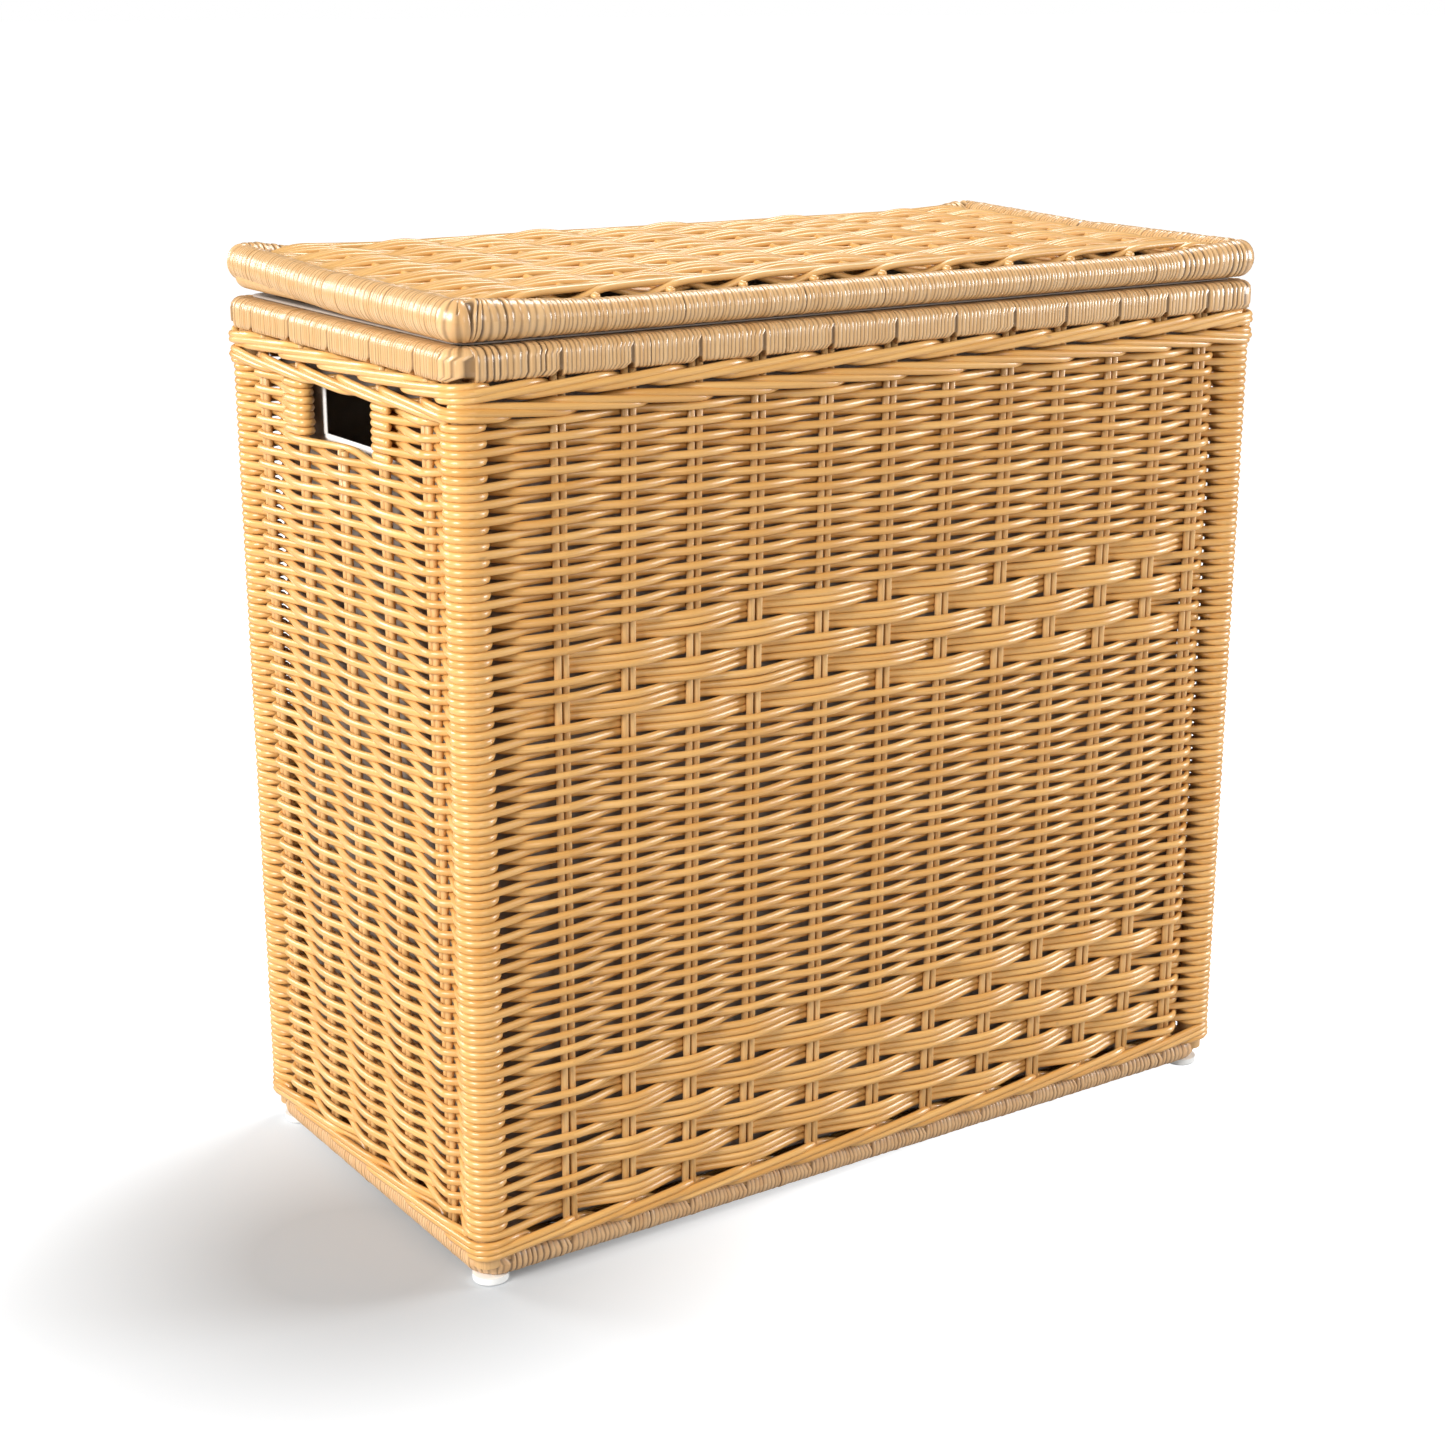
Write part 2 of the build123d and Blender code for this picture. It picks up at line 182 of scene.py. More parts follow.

# %% [markdown]
# ## Lacquered rattan
# Rattan is honey coloured, with fine fibre lines along the reed, slow patches of lighter and
# browner wood, a dark node here and there, and a clear satin lacquer. The fibre is needed on
# reeds, flat cane and poles alike, so it is one node group that reads a UV map laid along each
# strand in metres. Each strand also carries a "tone" number, so that neighbours differ, and a
# second number that is high in the grooves between turns of cane: there the colour is darkened
# towards black as painted shade, most where a groove stands open.


# %% The fibre group
def fibre_group():
    """Node group: along-the-strand UV in, fibre lines, patches and dark nodes out."""
    group = bpy.data.node_groups.new("rattan_fibre", "ShaderNodeTree")
    put_in = group.interface.new_socket
    put_in(name="Along", in_out="INPUT", socket_type="NodeSocketVector")
    put_in(name="Fineness", in_out="INPUT", socket_type="NodeSocketFloat").default_value = 1.0
    for name in ("Lines", "Patches", "Nodes"):
        put_in(name=name, in_out="OUTPUT", socket_type="NodeSocketFloat")
    nodes, links = group.nodes, group.links
    enter, leave = nodes.new("NodeGroupInput"), nodes.new("NodeGroupOutput")

    def noise(stretch, scale, detail, rough):
        """Noise stretched by a different factor along and across the strand."""
        turn = nodes.new("ShaderNodeVectorMath")
        turn.operation = "MULTIPLY"
        turn.inputs[1].default_value = stretch
        cloud = nodes.new("ShaderNodeTexNoise")
        cloud.inputs["Detail"].default_value = detail
        cloud.inputs["Roughness"].default_value = rough
        size = nodes.new("ShaderNodeMath")
        size.operation = "MULTIPLY"
        size.inputs[1].default_value = scale
        links.new(enter.outputs["Along"], turn.inputs[0])
        links.new(turn.outputs[0], cloud.inputs["Vector"])
        links.new(enter.outputs["Fineness"], size.inputs[0])
        links.new(size.outputs[0], cloud.inputs["Scale"])
        return cloud.outputs["Fac"]

    def ramp(value, low, high):
        """Straight ramp from 0 at low to 1 at high."""
        step = nodes.new("ShaderNodeMapRange")
        step.inputs["From Min"].default_value = low
        step.inputs["From Max"].default_value = high
        links.new(value, step.inputs["Value"])
        return step.outputs["Result"]

    links.new(ramp(noise((14, 900, 1), 1.0, 3.0, 0.6), 0.3, 0.7), leave.inputs["Lines"])
    links.new(ramp(noise((11, 60, 1), 1.0, 2.0, 0.5), 0.32, 0.68), leave.inputs["Patches"])
    links.new(ramp(noise((75, 110, 1), 1.0, 1.0, 0.4), 0.76, 0.84), leave.inputs["Nodes"])
    return group


fibre = fibre_group()


# %% Rattan finishes
def rattan(name, pale, deep, rough, coat, groove_shade=0.35, bump=0.25, uv=True):
    """Lacquered rattan: pale to deep by tone and patches, darker in fibre lines, with painted shade in the
    grooves.
    """
    paint, nodes, links, shader = new_paint(
        name, Specular_IOR_Level=0.5, Coat_Weight=coat, Coat_Roughness=0.22)
    grain = nodes.new("ShaderNodeGroup")
    grain.node_tree = fibre
    if uv:
        where = nodes.new("ShaderNodeUVMap").outputs["UV"]
    else:
        turn = nodes.new("ShaderNodeMapping")
        links.new(nodes.new("ShaderNodeTexCoord").outputs["Object"], turn.inputs["Vector"])
        where = turn.outputs["Vector"]
    links.new(where, grain.inputs["Along"])
    tone = nodes.new("ShaderNodeAttribute")
    tone.attribute_name = "tone"
    groove = nodes.new("ShaderNodeAttribute")
    groove.attribute_name = "groove_shade"

    def mix(amount, first, second, kind="MIX"):
        """Colour mix; each input is a socket or a constant."""
        both = nodes.new("ShaderNodeMix")
        both.data_type, both.blend_type = "RGBA", kind
        for socket, value in ((both.inputs[0], amount), (both.inputs[6], first), (both.inputs[7], second)):
            if isinstance(value, bpy.types.NodeSocket):
                links.new(value, socket)
            else:
                socket.default_value = value
        return both.outputs[2]

    def math_node(kind, first, second):
        """One arithmetic step on two sockets or numbers."""
        step = nodes.new("ShaderNodeMath")
        step.operation = kind
        for socket, value in zip(step.inputs, (first, second)):
            if isinstance(value, bpy.types.NodeSocket):
                links.new(value, socket)
            else:
                socket.default_value = value
        return step.outputs[0]

    shade = math_node("ADD", math_node("MULTIPLY", tone.outputs["Fac"], 0.6),
                      math_node("MULTIPLY", grain.outputs["Patches"], 0.4))
    colour = mix(shade, (*pale, 1), (*deep, 1))
    colour = mix(math_node("MULTIPLY", grain.outputs["Lines"], 0.42), colour,
                 (deep[0] * 0.75, deep[1] * 0.66, deep[2] * 0.55, 1))
    colour = mix(math_node("MULTIPLY", grain.outputs["Nodes"], 0.55), colour, (0.2, 0.1, 0.045, 1))
    # Painted shade: the grooves between turns of cane are darkened towards near black by their groove
    # number.
    colour = mix(math_node("MULTIPLY", groove.outputs["Fac"], groove_shade), colour, (0.06, 0.028, 0.01, 1))
    links.new(colour, shader.inputs["Base Color"])
    links.new(math_node("ADD", math_node("MULTIPLY", grain.outputs["Patches"], 0.12), rough),
              shader.inputs["Roughness"])
    height = nodes.new("ShaderNodeBump")
    height.inputs["Strength"].default_value = bump
    height.inputs["Distance"].default_value = 0.0002
    links.new(grain.outputs["Lines"], height.inputs["Height"])
    links.new(height.outputs["Normal"], shader.inputs["Normal"])
    return paint


wall_reed = rattan("wall_reed", (0.86, 0.52, 0.185), (0.64, 0.31, 0.07), 0.30, 0.35)
stake_reed = rattan("stake_reed", (0.80, 0.51, 0.22), (0.62, 0.35, 0.12), 0.36, 0.2)
lid_reed = rattan("lid_reed", (0.80, 0.50, 0.20), (0.62, 0.33, 0.09), 0.30, 0.35)
wound_cane = rattan("wound_cane", (0.80, 0.53, 0.27), (0.64, 0.36, 0.14), 0.28, 0.4, groove_shade=0.8)
base_cane = rattan("base_cane", (0.78, 0.52, 0.28), (0.66, 0.38, 0.17), 0.42, 0.15, groove_shade=0.7)
print("finishes:", [m.name for m in bpy.data.materials])

# %% [markdown]
# ## From arrays to a mesh
# Everything woven is built as big arrays of points and put into a mesh in one go. A small record
# of arrays (points, four-cornered faces with their UVs, three-cornered caps, tone, seam) can be
# joined with others before it becomes a piece.


# %% Arrays into pieces
def cloth_of(points, quads, quad_uv, caps=None, cap_uv=None, tone=None, groove_shade=None):
    """One record of mesh arrays; missing ones are filled with empty or zero arrays."""
    count = len(points)
    return {
        "points": points, "quads": quads, "quad_uv": quad_uv,
        "caps": np.zeros((0, 3), int) if caps is None else caps,
        "cap_uv": np.zeros((0, 3, 2)) if cap_uv is None else cap_uv,
        "tone": np.zeros(count) if tone is None else tone,
        "groove_shade": np.zeros(count) if groove_shade is None else groove_shade,
    }


def joined(parts):
    """Several records as one, with the faces renumbered."""
    shift = np.cumsum([0] + [len(part["points"]) for part in parts])[:-1]
    whole = {key: np.concatenate([part[key] for part in parts])
             for key in ("points", "quad_uv", "cap_uv", "tone", "groove_shade")}
    for key in ("quads", "caps"):
        whole[key] = np.concatenate([part[key] + move for part, move in zip(parts, shift)])
    return whole


def piece(name, record, paint, body, nodes):
    """Put a record into a mesh object that rides on a body and stands for some CAD nodes."""
    mesh = bpy.data.meshes.new(name)
    corners = np.concatenate([record["quads"].ravel(), record["caps"].ravel()])
    sizes = np.repeat([4, 3], [len(record["quads"]), len(record["caps"])])
    mesh.vertices.add(len(record["points"]))
    mesh.vertices.foreach_set("co", record["points"].astype(np.float32).ravel())
    mesh.loops.add(len(corners))
    mesh.loops.foreach_set("vertex_index", corners.astype(np.int32))
    mesh.polygons.add(len(sizes))
    mesh.polygons.foreach_set("loop_start", np.concatenate([[0], np.cumsum(sizes)[:-1]]).astype(np.int32))
    mesh.polygons.foreach_set("use_smooth", np.ones(len(sizes), bool))
    layer = mesh.uv_layers.new(name="UVMap")
    layer.data.foreach_set("uv", np.concatenate(
        [record["quad_uv"].ravel(), record["cap_uv"].ravel()]).astype(np.float32))
    for key in ("tone", "groove_shade"):
        mesh.attributes.new(key, "FLOAT", "POINT").data.foreach_set("value", record[key].astype(np.float32))
    mesh.update(calc_edges=True)
    mesh.validate()
    mesh.materials.append(paint)
    thing = bpy.data.objects.new(name, mesh)
    scene.collection.objects.link(thing)
    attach(thing, body)
    if nodes:
        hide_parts(*nodes)
    print(name, "triangles", 2 * len(record["quads"]) + len(record["caps"]))
    return thing


# %% Round and flat strands along paths
def strands(paths, half_wide, half_thick=None, up=(0, 0, 1), closed=False, sides=8):
    """Tubes along many paths at once. At each point the path's direction, a sideways vector
    (direction cross up) and a rising vector make a frame; the ring there is sideways times
    half_wide cosine plus rising times half_thick sine. Open ends get a low domed cap."""
    count, steps = paths.shape[:2]
    half_wide = np.broadcast_to(np.asarray(half_wide, float), (count, steps))
    half_thick = half_wide if half_thick is None else np.broadcast_to(half_thick, (count, steps))
    if closed:
        along = np.roll(paths, -1, axis=1) - np.roll(paths, 1, axis=1)
    else:
        along = np.gradient(paths, axis=1)
    along /= np.linalg.norm(along, axis=2, keepdims=True)
    side = np.cross(along, np.broadcast_to(np.asarray(up, float), along.shape))
    side /= np.linalg.norm(side, axis=2, keepdims=True)
    rise = np.cross(side, along)
    angle = np.arange(sides) * TAU / sides
    ring = (side[:, :, None] * (half_wide[..., None] * np.cos(angle))[..., None]
            + rise[:, :, None] * (half_thick[..., None] * np.sin(angle))[..., None])
    points = (paths[:, :, None] + ring).reshape(-1, 3)

    runs = steps if closed else steps - 1
    strand, step, turn = np.meshgrid(np.arange(count), np.arange(runs), np.arange(sides), indexing="ij")
    ahead, around = (step + 1) % steps, (turn + 1) % sides

    def spot(i, j):
        return (strand * steps + i) * sides + j

    quads = np.stack([spot(step, turn), spot(ahead, turn), spot(ahead, around), spot(step, around)], -1)
    gaps = np.linalg.norm(np.roll(paths, -1, axis=1) - paths, axis=2)
    length = np.concatenate([np.zeros((count, 1)), np.cumsum(gaps, axis=1)], axis=1)
    length += rng.uniform(0, 40, (count, 1))
    girth = TAU * half_wide.mean() / sides
    offset = rng.uniform(0, 3, (count, 1, 1))
    low, high = length[strand, step], length[strand, step + 1]
    near, far = offset + turn * girth, offset + (turn + 1) * girth
    quad_uv = np.stack([low, near, high, near, high, far, low, far], -1)
    shade = rng.beta(1.6, 2.2, count)
    record = cloth_of(points, quads.reshape(-1, 4), quad_uv.reshape(-1, 4, 2),
                      tone=np.repeat(shade, steps * sides))
    if closed:
        return record
    tips = np.stack([paths[:, 0] - along[:, 0] * half_wide[:, :1] * 0.35,
                     paths[:, -1] + along[:, -1] * half_wide[:, -1:] * 0.35], 1).reshape(-1, 3)
    first = np.arange(count)[:, None] * steps * sides + np.arange(sides)
    last = first + (steps - 1) * sides
    tip = len(points) + 2 * np.arange(count)[:, None] + np.zeros(sides, int)
    start = np.stack([tip, first, np.roll(first, -1, axis=1)], -1)
    end = np.stack([tip + 1, np.roll(last, -1, axis=1), last], -1)
    caps = np.concatenate([start.reshape(-1, 3), end.reshape(-1, 3)])
    record["points"] = np.concatenate([points, tips])
    record["tone"] = np.concatenate([record["tone"], np.repeat(shade, 2)])
    record["groove_shade"] = np.zeros(len(record["points"]))
    record["caps"] = caps
    record["cap_uv"] = np.zeros((len(caps), 3, 2)) + rng.uniform(0, 40, (len(caps), 1, 1))
    return record


def path_of(x, y, z):
    """Paths from their three coordinates, each spread to the shape they have in common."""
    return np.stack(np.broadcast_arrays(x, y, z), -1)


def laced(knots, headings, counts):
    """Smooth paths through knots. Between two knots the path is a cubic Hermite curve: it leaves
    along one heading and arrives along the next, and the length of both pulls is the distance
    divided by the squared cosine of a quarter of the turn, which makes a turn a near circle."""
    legs = []
    for k, count in enumerate(counts):
        a, b = knots[:, k], knots[:, k + 1]
        u, v = headings[:, k], headings[:, k + 1]
        turn = np.arccos(np.clip((u * v).sum(-1), -1, 1))
        pull = (np.linalg.norm(b - a, axis=-1) / np.cos(turn / 4) ** 2)[:, None, None]
        t = (np.arange(count) / count)[None, :, None]
        legs.append(a[:, None] * (2 * t**3 - 3 * t**2 + 1) + u[:, None] * pull * (t**3 - 2 * t**2 + t)
                    + b[:, None] * (3 * t**2 - 2 * t**3) + v[:, None] * pull * (t**3 - t**2))
    legs.append(knots[:, -1:])
    return np.concatenate(legs, axis=1)

# %% [markdown]
# ## The rows of the walls
# A weaver laces each reed in front of one stake and behind the next, and the row above does the
# opposite. That is plain weave: the sign of a crossing is plus for even and minus for odd sums of
# row number and stake number. In two bands the reeds are taken three together, so the sign
# follows the group instead. Going round the basket there are 38 crossings, the four corner posts
# among them. Every row shows at a post: a row that should pass inside it makes one full turn
# round the post on the way.

# %% Heights and signs of the rows
ROWS = [("band", 21), ("plain", 42), ("band", 15), ("plain", 26)]
row_count = sum(count for kind, count in ROWS)
pitch = (weave_high - weave_low) / row_count
row_z = weave_low + (np.arange(row_count) + 0.5) * pitch
row_group = np.full(row_count, -1)
row_in_group = np.zeros(row_count, int)
start, flip = 0, 0
for kind, count in ROWS:
    if kind == "band":
        row_group[start:start + count] = np.arange(count) // 3 + flip
        row_in_group[start:start + count] = np.arange(count) % 3
        flip += 1
    start += count
weave_depth = (row_z - weave_low) / (weave_high - weave_low)

WALLS = [
    ("front", (1, 0), (0, -1), FRONT_TOP, wall_y),
    ("right", (0, 1), (1, 0), SIDE_AT, wall_x),
    ("back", (-1, 0), (0, 1), -FRONT_TOP[::-1], wall_y),
    ("left", (0, -1), (-1, 0), SIDE_AT, wall_x),
]


def stake_at(wall, height):
    """How far along its wall each stake stands at each height: the front ones lean a little."""
    name, along, out, places, plane = WALLS[wall]
    if name == "front":
        return places + FRONT_LEAN * (1 - height[:, None])
    if name == "back":
        return places - (FRONT_LEAN * (1 - height[:, None]))[:, ::-1]
    return places + 0 * height[:, None]


def crossing_sign(rows, wall, number, total, crossing):
    """+1 where a row passes outside a stake, -1 inside. Plain weave alternates; a band goes by
    its group, except that next to a post only the outer two reeds of an outside group stay
    outside. The short walls are plain all the way up."""
    plain = np.where((rows + crossing) % 2 == 0, 1.0, -1.0)
    if wall % 2 == 1:
        return plain
    grouped = np.where((row_group[rows] + crossing) % 2 == 0, 1.0, -1.0)
    if number in (0, total - 1):
        grouped = np.where((grouped > 0) & (row_in_group[rows] == 1), -1.0, grouped)
    return np.where(row_group[rows] >= 0, grouped, plain)


# %% Knots of the rows
def wall_knots(rows, wall, first, keep=slice(None)):
    """Knots and headings at the stakes of one wall, for all the rows."""
    name, along, out, places, plane = WALLS[wall]
    along, out = np.array([*along, 0.0]), np.array([*out, 0.0])
    at = stake_at(wall, weave_depth[rows])
    total = at.shape[1]
    signs = np.stack([crossing_sign(rows, wall, k, total, first + k) for k in range(total)], 1)
    stand = signs * (lace + rng.normal(0, 0.12 * MM, signs.shape))
    knots = at[..., None] * along + (plane + stand)[..., None] * out
    knots[..., 2] = row_z[rows][:, None] + rng.normal(0, 0.16 * MM, signs.shape)
    headings = np.broadcast_to(along, knots.shape).copy()
    return knots[:, keep], headings[:, keep], signs[:, keep]


def corner_knots(rows, wall, crossing):
    """Three knots at the post after a wall: a quarter turn outside it, or a cut inside it."""
    along, out = (np.array([*v, 0.0]) for v in WALLS[wall][1:3])
    centre = along * (post_x if wall % 2 == 0 else post_y) + out * (post_y if wall % 2 == 0 else post_x)
    radius = post_r + reed_r
    half = math.sqrt(0.5)
    outside = np.stack([out * radius, (out + along) * radius * half, along * radius])
    outside_to = np.stack([along, (along - out) * half, -out])
    inside = np.stack([-18.8 * along + 2.2 * out, -11.1 * (along + out), 2.2 * along - 18.8 * out]) * MM
    inside_to = np.stack([along - 0.9 * out, (along - out) * half * 1.345, 0.9 * along - out]) / 1.345
    passes_out = ((rows + crossing) % 2 == 0)[:, None, None]
    knots = centre + np.where(passes_out, outside, inside)
    knots[..., 2] = row_z[rows][:, None]
    return knots, np.where(passes_out, outside_to, inside_to) + 0.0 * knots


def settle(paths):
    """Small slow waves up and down that all neighbouring rows share, none at the two ends."""
    x, y, z = paths[..., 0], paths[..., 1], paths[..., 2]
    wave = (0.55 * np.sin(x / 0.038 + y / 0.031 + z / 0.047)
            + 0.45 * np.sin(x / 0.071 - y / 0.06 - z / 0.029 + 1.3)
            + 0.3 * np.sin(x / 0.019 + y / 0.023 + z / 0.013 + 2.1))
    height = np.clip((z - weave_low) / (weave_high - weave_low), 0, 1)
    paths[..., 2] += MM * wave * np.clip(12 * height * (1 - height), 0, 1)
    return paths


PER_STAKE, PER_TURN = 9, 4
STUB = 15 * MM                          # how far a turned reed runs back beside the hole


def whole_rows(rows):
    """Closed paths right round the basket, starting at the first front stake."""
    knots, headings, counts, crossing = [], [], [], 1
    for wall in range(4):
        k, h, _ = wall_knots(rows, wall, crossing)
        crossing += k.shape[1]
        c, g = corner_knots(rows, wall, crossing)
        crossing += 1
        knots += [k, c]
        headings += [h, g]
        counts += [PER_STAKE] * k.shape[1] + [PER_TURN] * 2 + [PER_STAKE]
    knots, headings = (np.concatenate(rows_of + [rows_of[0][:, :1]], 1) for rows_of in (knots, headings))
    return settle(laced(knots, headings, counts)[:, :-1])


def turned_rows(rows, front):
    """Open paths for the rows that a hand hole breaks: half way round the basket, and at each end
    a turn round the stake beside the hole and a short way back on its other side."""
    walls = (3, 0, 1) if front else (1, 2, 3)
    crossing = {0: 1, 1: 14, 2: 20, 3: 33}
    knots, headings, counts = [], [], []
    for place, wall in enumerate(walls):
        keep = (slice(3, 5), slice(None), slice(0, 2))[place]
        k, h, signs = wall_knots(rows, wall, crossing[wall], keep)
        along, out = (np.array([*v, 0.0]) for v in WALLS[wall][1:3])
        if place != 1:
            edge, toward = (0, -1) if place == 0 else (-1, 1)
            across = (signs[:, edge] * lace)[:, None] * out
            beside = k[:, edge] - across
            bend = beside + toward * along * (pair_step + stake_r + reed_r)
            back = beside - across
            stop = back - toward * along * STUB
            level = toward * along + 0 * across
            outward = -toward * np.sign(signs[:, edge])[:, None] * out
            if place == 0:
                k = np.concatenate([np.stack([stop, back, bend], 1), k], 1)
                h = np.concatenate([np.stack([level, level, outward], 1), h], 1)
                counts += [PER_TURN] * 3 + [PER_STAKE]
            else:
                k = np.concatenate([k, np.stack([bend, back, stop], 1)], 1)
                h = np.concatenate([h, np.stack([outward, -level, -level], 1)], 1)
                counts += [PER_STAKE] + [PER_TURN] * 3
        else:
            counts += [PER_STAKE] * (k.shape[1] - 1)
        knots.append(k)
        headings.append(h)
        if place < 2:
            c, g = corner_knots(rows, wall, crossing[wall] + len(WALLS[wall][3]))
            knots.append(c)
            headings.append(g)
            counts += [PER_STAKE] + [PER_TURN] * 2 + [PER_STAKE]
    return settle(laced(np.concatenate(knots, 1), np.concatenate(headings, 1), counts))


# %% Weave the walls
all_rows = np.arange(row_count)
broken = all_rows[row_z > hole_low + 2 * MM]
unbroken = all_rows[row_z <= hole_low + 2 * MM]
wall_nodes = ["front_weave", "back_weave", "left_weave", "right_weave"]
zones = {"lower_band": (0, 21), "low_rows": (21, 42), "middle_rows": (42, 63), "upper_band": (63, 80),
         "high_rows": (80, len(unbroken))}
for zone, (first, last) in zones.items():
    share = rng.normal(1.0, 0.03, (last - first, 1))
    record = strands(whole_rows(all_rows[first:last]), reed_r * share, reed_high * share, closed=True)
    piece("reeds_" + zone, record, wall_reed, "basket", wall_nodes)
hole_parts = [strands(turned_rows(broken, front), reed_r, reed_high) for front in (True, False)]
piece("reeds_hand_holes", joined(hole_parts), wall_reed, "basket", wall_nodes)


# %% Reed coiled round the posts
def post_turns(side_x, side_y, parity):
    """Closed rings round one post at the rows that pass inside it."""
    rows = all_rows[(all_rows + parity) % 2 == 1]
    angle = np.arange(16) * TAU / 16
    radius = post_r + reed_r
    ring = np.stack([radius * np.cos(angle), radius * np.sin(angle), 0 * angle], -1)
    centre = np.stack([0 * rows + side_x * post_x, 0 * rows + side_y * post_y, row_z[rows]], -1)
    return settle(centre[:, None] + ring)


for corner, side_x, side_y, parity in (("front_left", -1, -1, 0), ("front_right", 1, -1, 13),
                                       ("back_right", 1, 1, 19), ("back_left", -1, 1, 32)):
    record = strands(post_turns(side_x, side_y, parity), reed_r, reed_high, closed=True)
    piece("post_turns_" + corner, record, wall_reed, "basket", ["corner_weave_" + corner])

# %% [markdown]
# ## Stakes
# The uprights are reeds in pairs. They stand on the base pole, lean by a few millimetres because
# they are set by hand, and their cut tips show in the notches under the rim.


# %% Stakes
def uprights(wall, low, tops):
    """Two reeds side by side at each stake of a wall, slightly bowed, from low up to the tops."""
    name, along, out, places, plane = WALLS[wall]
    along, out = np.array([*along, 0.0]), np.array([*out, 0.0])
    steps = np.linspace(0, 1, 12)
    at = stake_at(wall, steps).T
    at = np.repeat(at, 2, axis=0)
    pair = np.tile([-pair_step, pair_step], len(at) // 2)[:, None]
    shift = pair + rng.normal(0, 0.15 * MM, at.shape)
    paths = (at + shift)[..., None] * along + (plane + 0 * at)[..., None] * out
    ends = np.repeat(tops, 2) + rng.uniform(-0.8, 0.8, len(at)) * MM
    paths[..., 2] = low + (ends[:, None] - low) * steps
    return paths


for wall, (name, *_) in enumerate(WALLS):
    tops = np.full(len(WALLS[wall][3]), rim_low[2] + 3.2 * MM)
    if wall % 2 == 1:
        tops[2] = hole_low
    paths = uprights(wall, base_high[2] - 0.5 * MM, tops)
    record = strands(paths, stake_r, up=(0.31, 0.95, 0), sides=10)
    piece(name + "_uprights", record, stake_reed, "basket", [name + "_stakes"])

# %% [markdown]
# ## Twisted bands
# A wale is three reeds worked together: each passes outside two stakes and inside the third, one
# stake behind its neighbour, so the strands climb over each other like a rope. Under the rim two
# such bands lie one over the other with opposite twist, which makes an arrow pattern.


# %% The line a frame pole or a band follows
def ring_marks(half_x, half_y, bend):
    """Distances along a rounded rectangle where each side and each turn begins, and its length."""
    a, b, q = 2 * (half_x - bend), 2 * (half_y - bend), bend * math.pi / 2
    return np.cumsum([0, a, q, b, q, a, q, b, q])


def ring_line(s, half_x, half_y, bend):
    """Point and outward direction of a rounded rectangle at distance s along it, from the start
    of the front side. The centre of the bend moves along the straights and rests in the turns
    while the outward direction does the opposite; their sum is the line."""
    marks = ring_marks(half_x, half_y, bend)
    cx, cy = half_x - bend, half_y - bend
    s = np.mod(s, marks[-1])
    x = np.interp(s, marks, [-cx, cx, cx, cx, cx, -cx, -cx, -cx, -cx])
    y = np.interp(s, marks, [-cy, -cy, -cy, cy, cy, cy, cy, -cy, -cy])
    turn = np.interp(s, marks, np.radians([-90, -90, 0, 0, 90, 90, 180, 180, 270]))
    out = np.stack([np.cos(turn), np.sin(turn)], -1)
    return np.stack([x, y], -1) + bend * out, out


def wale(z, rise, radius, lift, lag=0.0, steps=520):
    """Three strands round the basket. Along each, phase runs 0 to 1 every three stakes: at 0 it
    is inside a stake, in between it is outside and climbs from -rise/2 to +rise/2. At the posts
    it stays outside."""
    bend = wall_x - post_x
    marks = ring_marks(wall_x, wall_y, bend)
    stakes = []
    for wall in range(4):
        places = stake_at(wall, np.array([1.0 if z > 0.3 else 0.0]))[0]
        half = post_x if wall % 2 == 0 else post_y
        stakes += [marks[2 * wall] + half + p for p in places]
    order = np.arange(1, 35) + np.repeat([0, 1.25, 2.5, 3.75], [12, 5, 12, 5])
    s_known = np.concatenate([[stakes[-1] - marks[-1]], stakes, [stakes[0] + marks[-1]]])
    n_known = np.concatenate([[order[-1] - 39], order, [order[0] + 39]])
    s = np.arange(steps) / steps * marks[-1]
    number = np.interp(s, s_known, n_known)
    phase = np.mod((number + lag)[None, :] / 3 - np.arange(3)[:, None] / 3, 1.0)
    inside = np.exp(-(np.minimum(phase, 1 - phase) / 0.105) ** 2)
    line, out = ring_line(s, wall_x, wall_y, bend)
    off_corner = (np.abs(line[:, 0]) - wall_x) ** 2 + (np.abs(line[:, 1]) - wall_y) ** 2
    near_post = np.exp(-off_corner / (2 * (17 * MM) ** 2))
    inside = inside * (1 - 0.999 * near_post)
    climb = np.where(phase < 0.5, phase, phase - 1) * inside * -1 + (phase - 0.5) * (1 - inside)
    stand = (stake_r + radius) * (1 - 2 * inside) + lift * np.sin(math.pi * phase) * (1 - inside)
    flat = line[None] + stand[..., None] * out[None]
    return np.concatenate([flat, (z + rise * climb)[..., None]], -1)


upper = span("upper_wale")
lower = span("lower_wale")
wale_r = 2.4 * MM
top_z, mid_z = upper[1][2] - 5.6 * MM, upper[0][2] + 5.4 * MM
twist_up = strands(wale(top_z, 10.0 * MM, wale_r, 2.0 * MM), wale_r, closed=True)
twist_down = strands(wale(mid_z, -10.0 * MM, wale_r, 2.0 * MM, lag=1.5), wale_r, closed=True)
piece("upper_twist", joined([twist_up, twist_down]), wall_reed, "basket", ["upper_wale"])
low_z = (lower[0][2] + lower[1][2]) / 2
twist_low = strands(wale(low_z, 11.5 * MM, 2.2 * MM, 0.3 * MM, lag=0.7), 2.5 * MM, closed=True)
piece("lower_twist", twist_low, wall_reed, "basket", ["lower_wale"])

# %% [markdown]
# ## Cane wound on the poles
# Base, rim and lid are poles wrapped in flat cane. Each turn of cane could be a separate strip,
# but they touch all along, so one skin round the pole does: four points across each turn, the two
# outer ones sunk, give it a crown and a groove. Turns differ in width and lean, the odd groove is
# open, and on the rim and the base the cane parts at every stake.


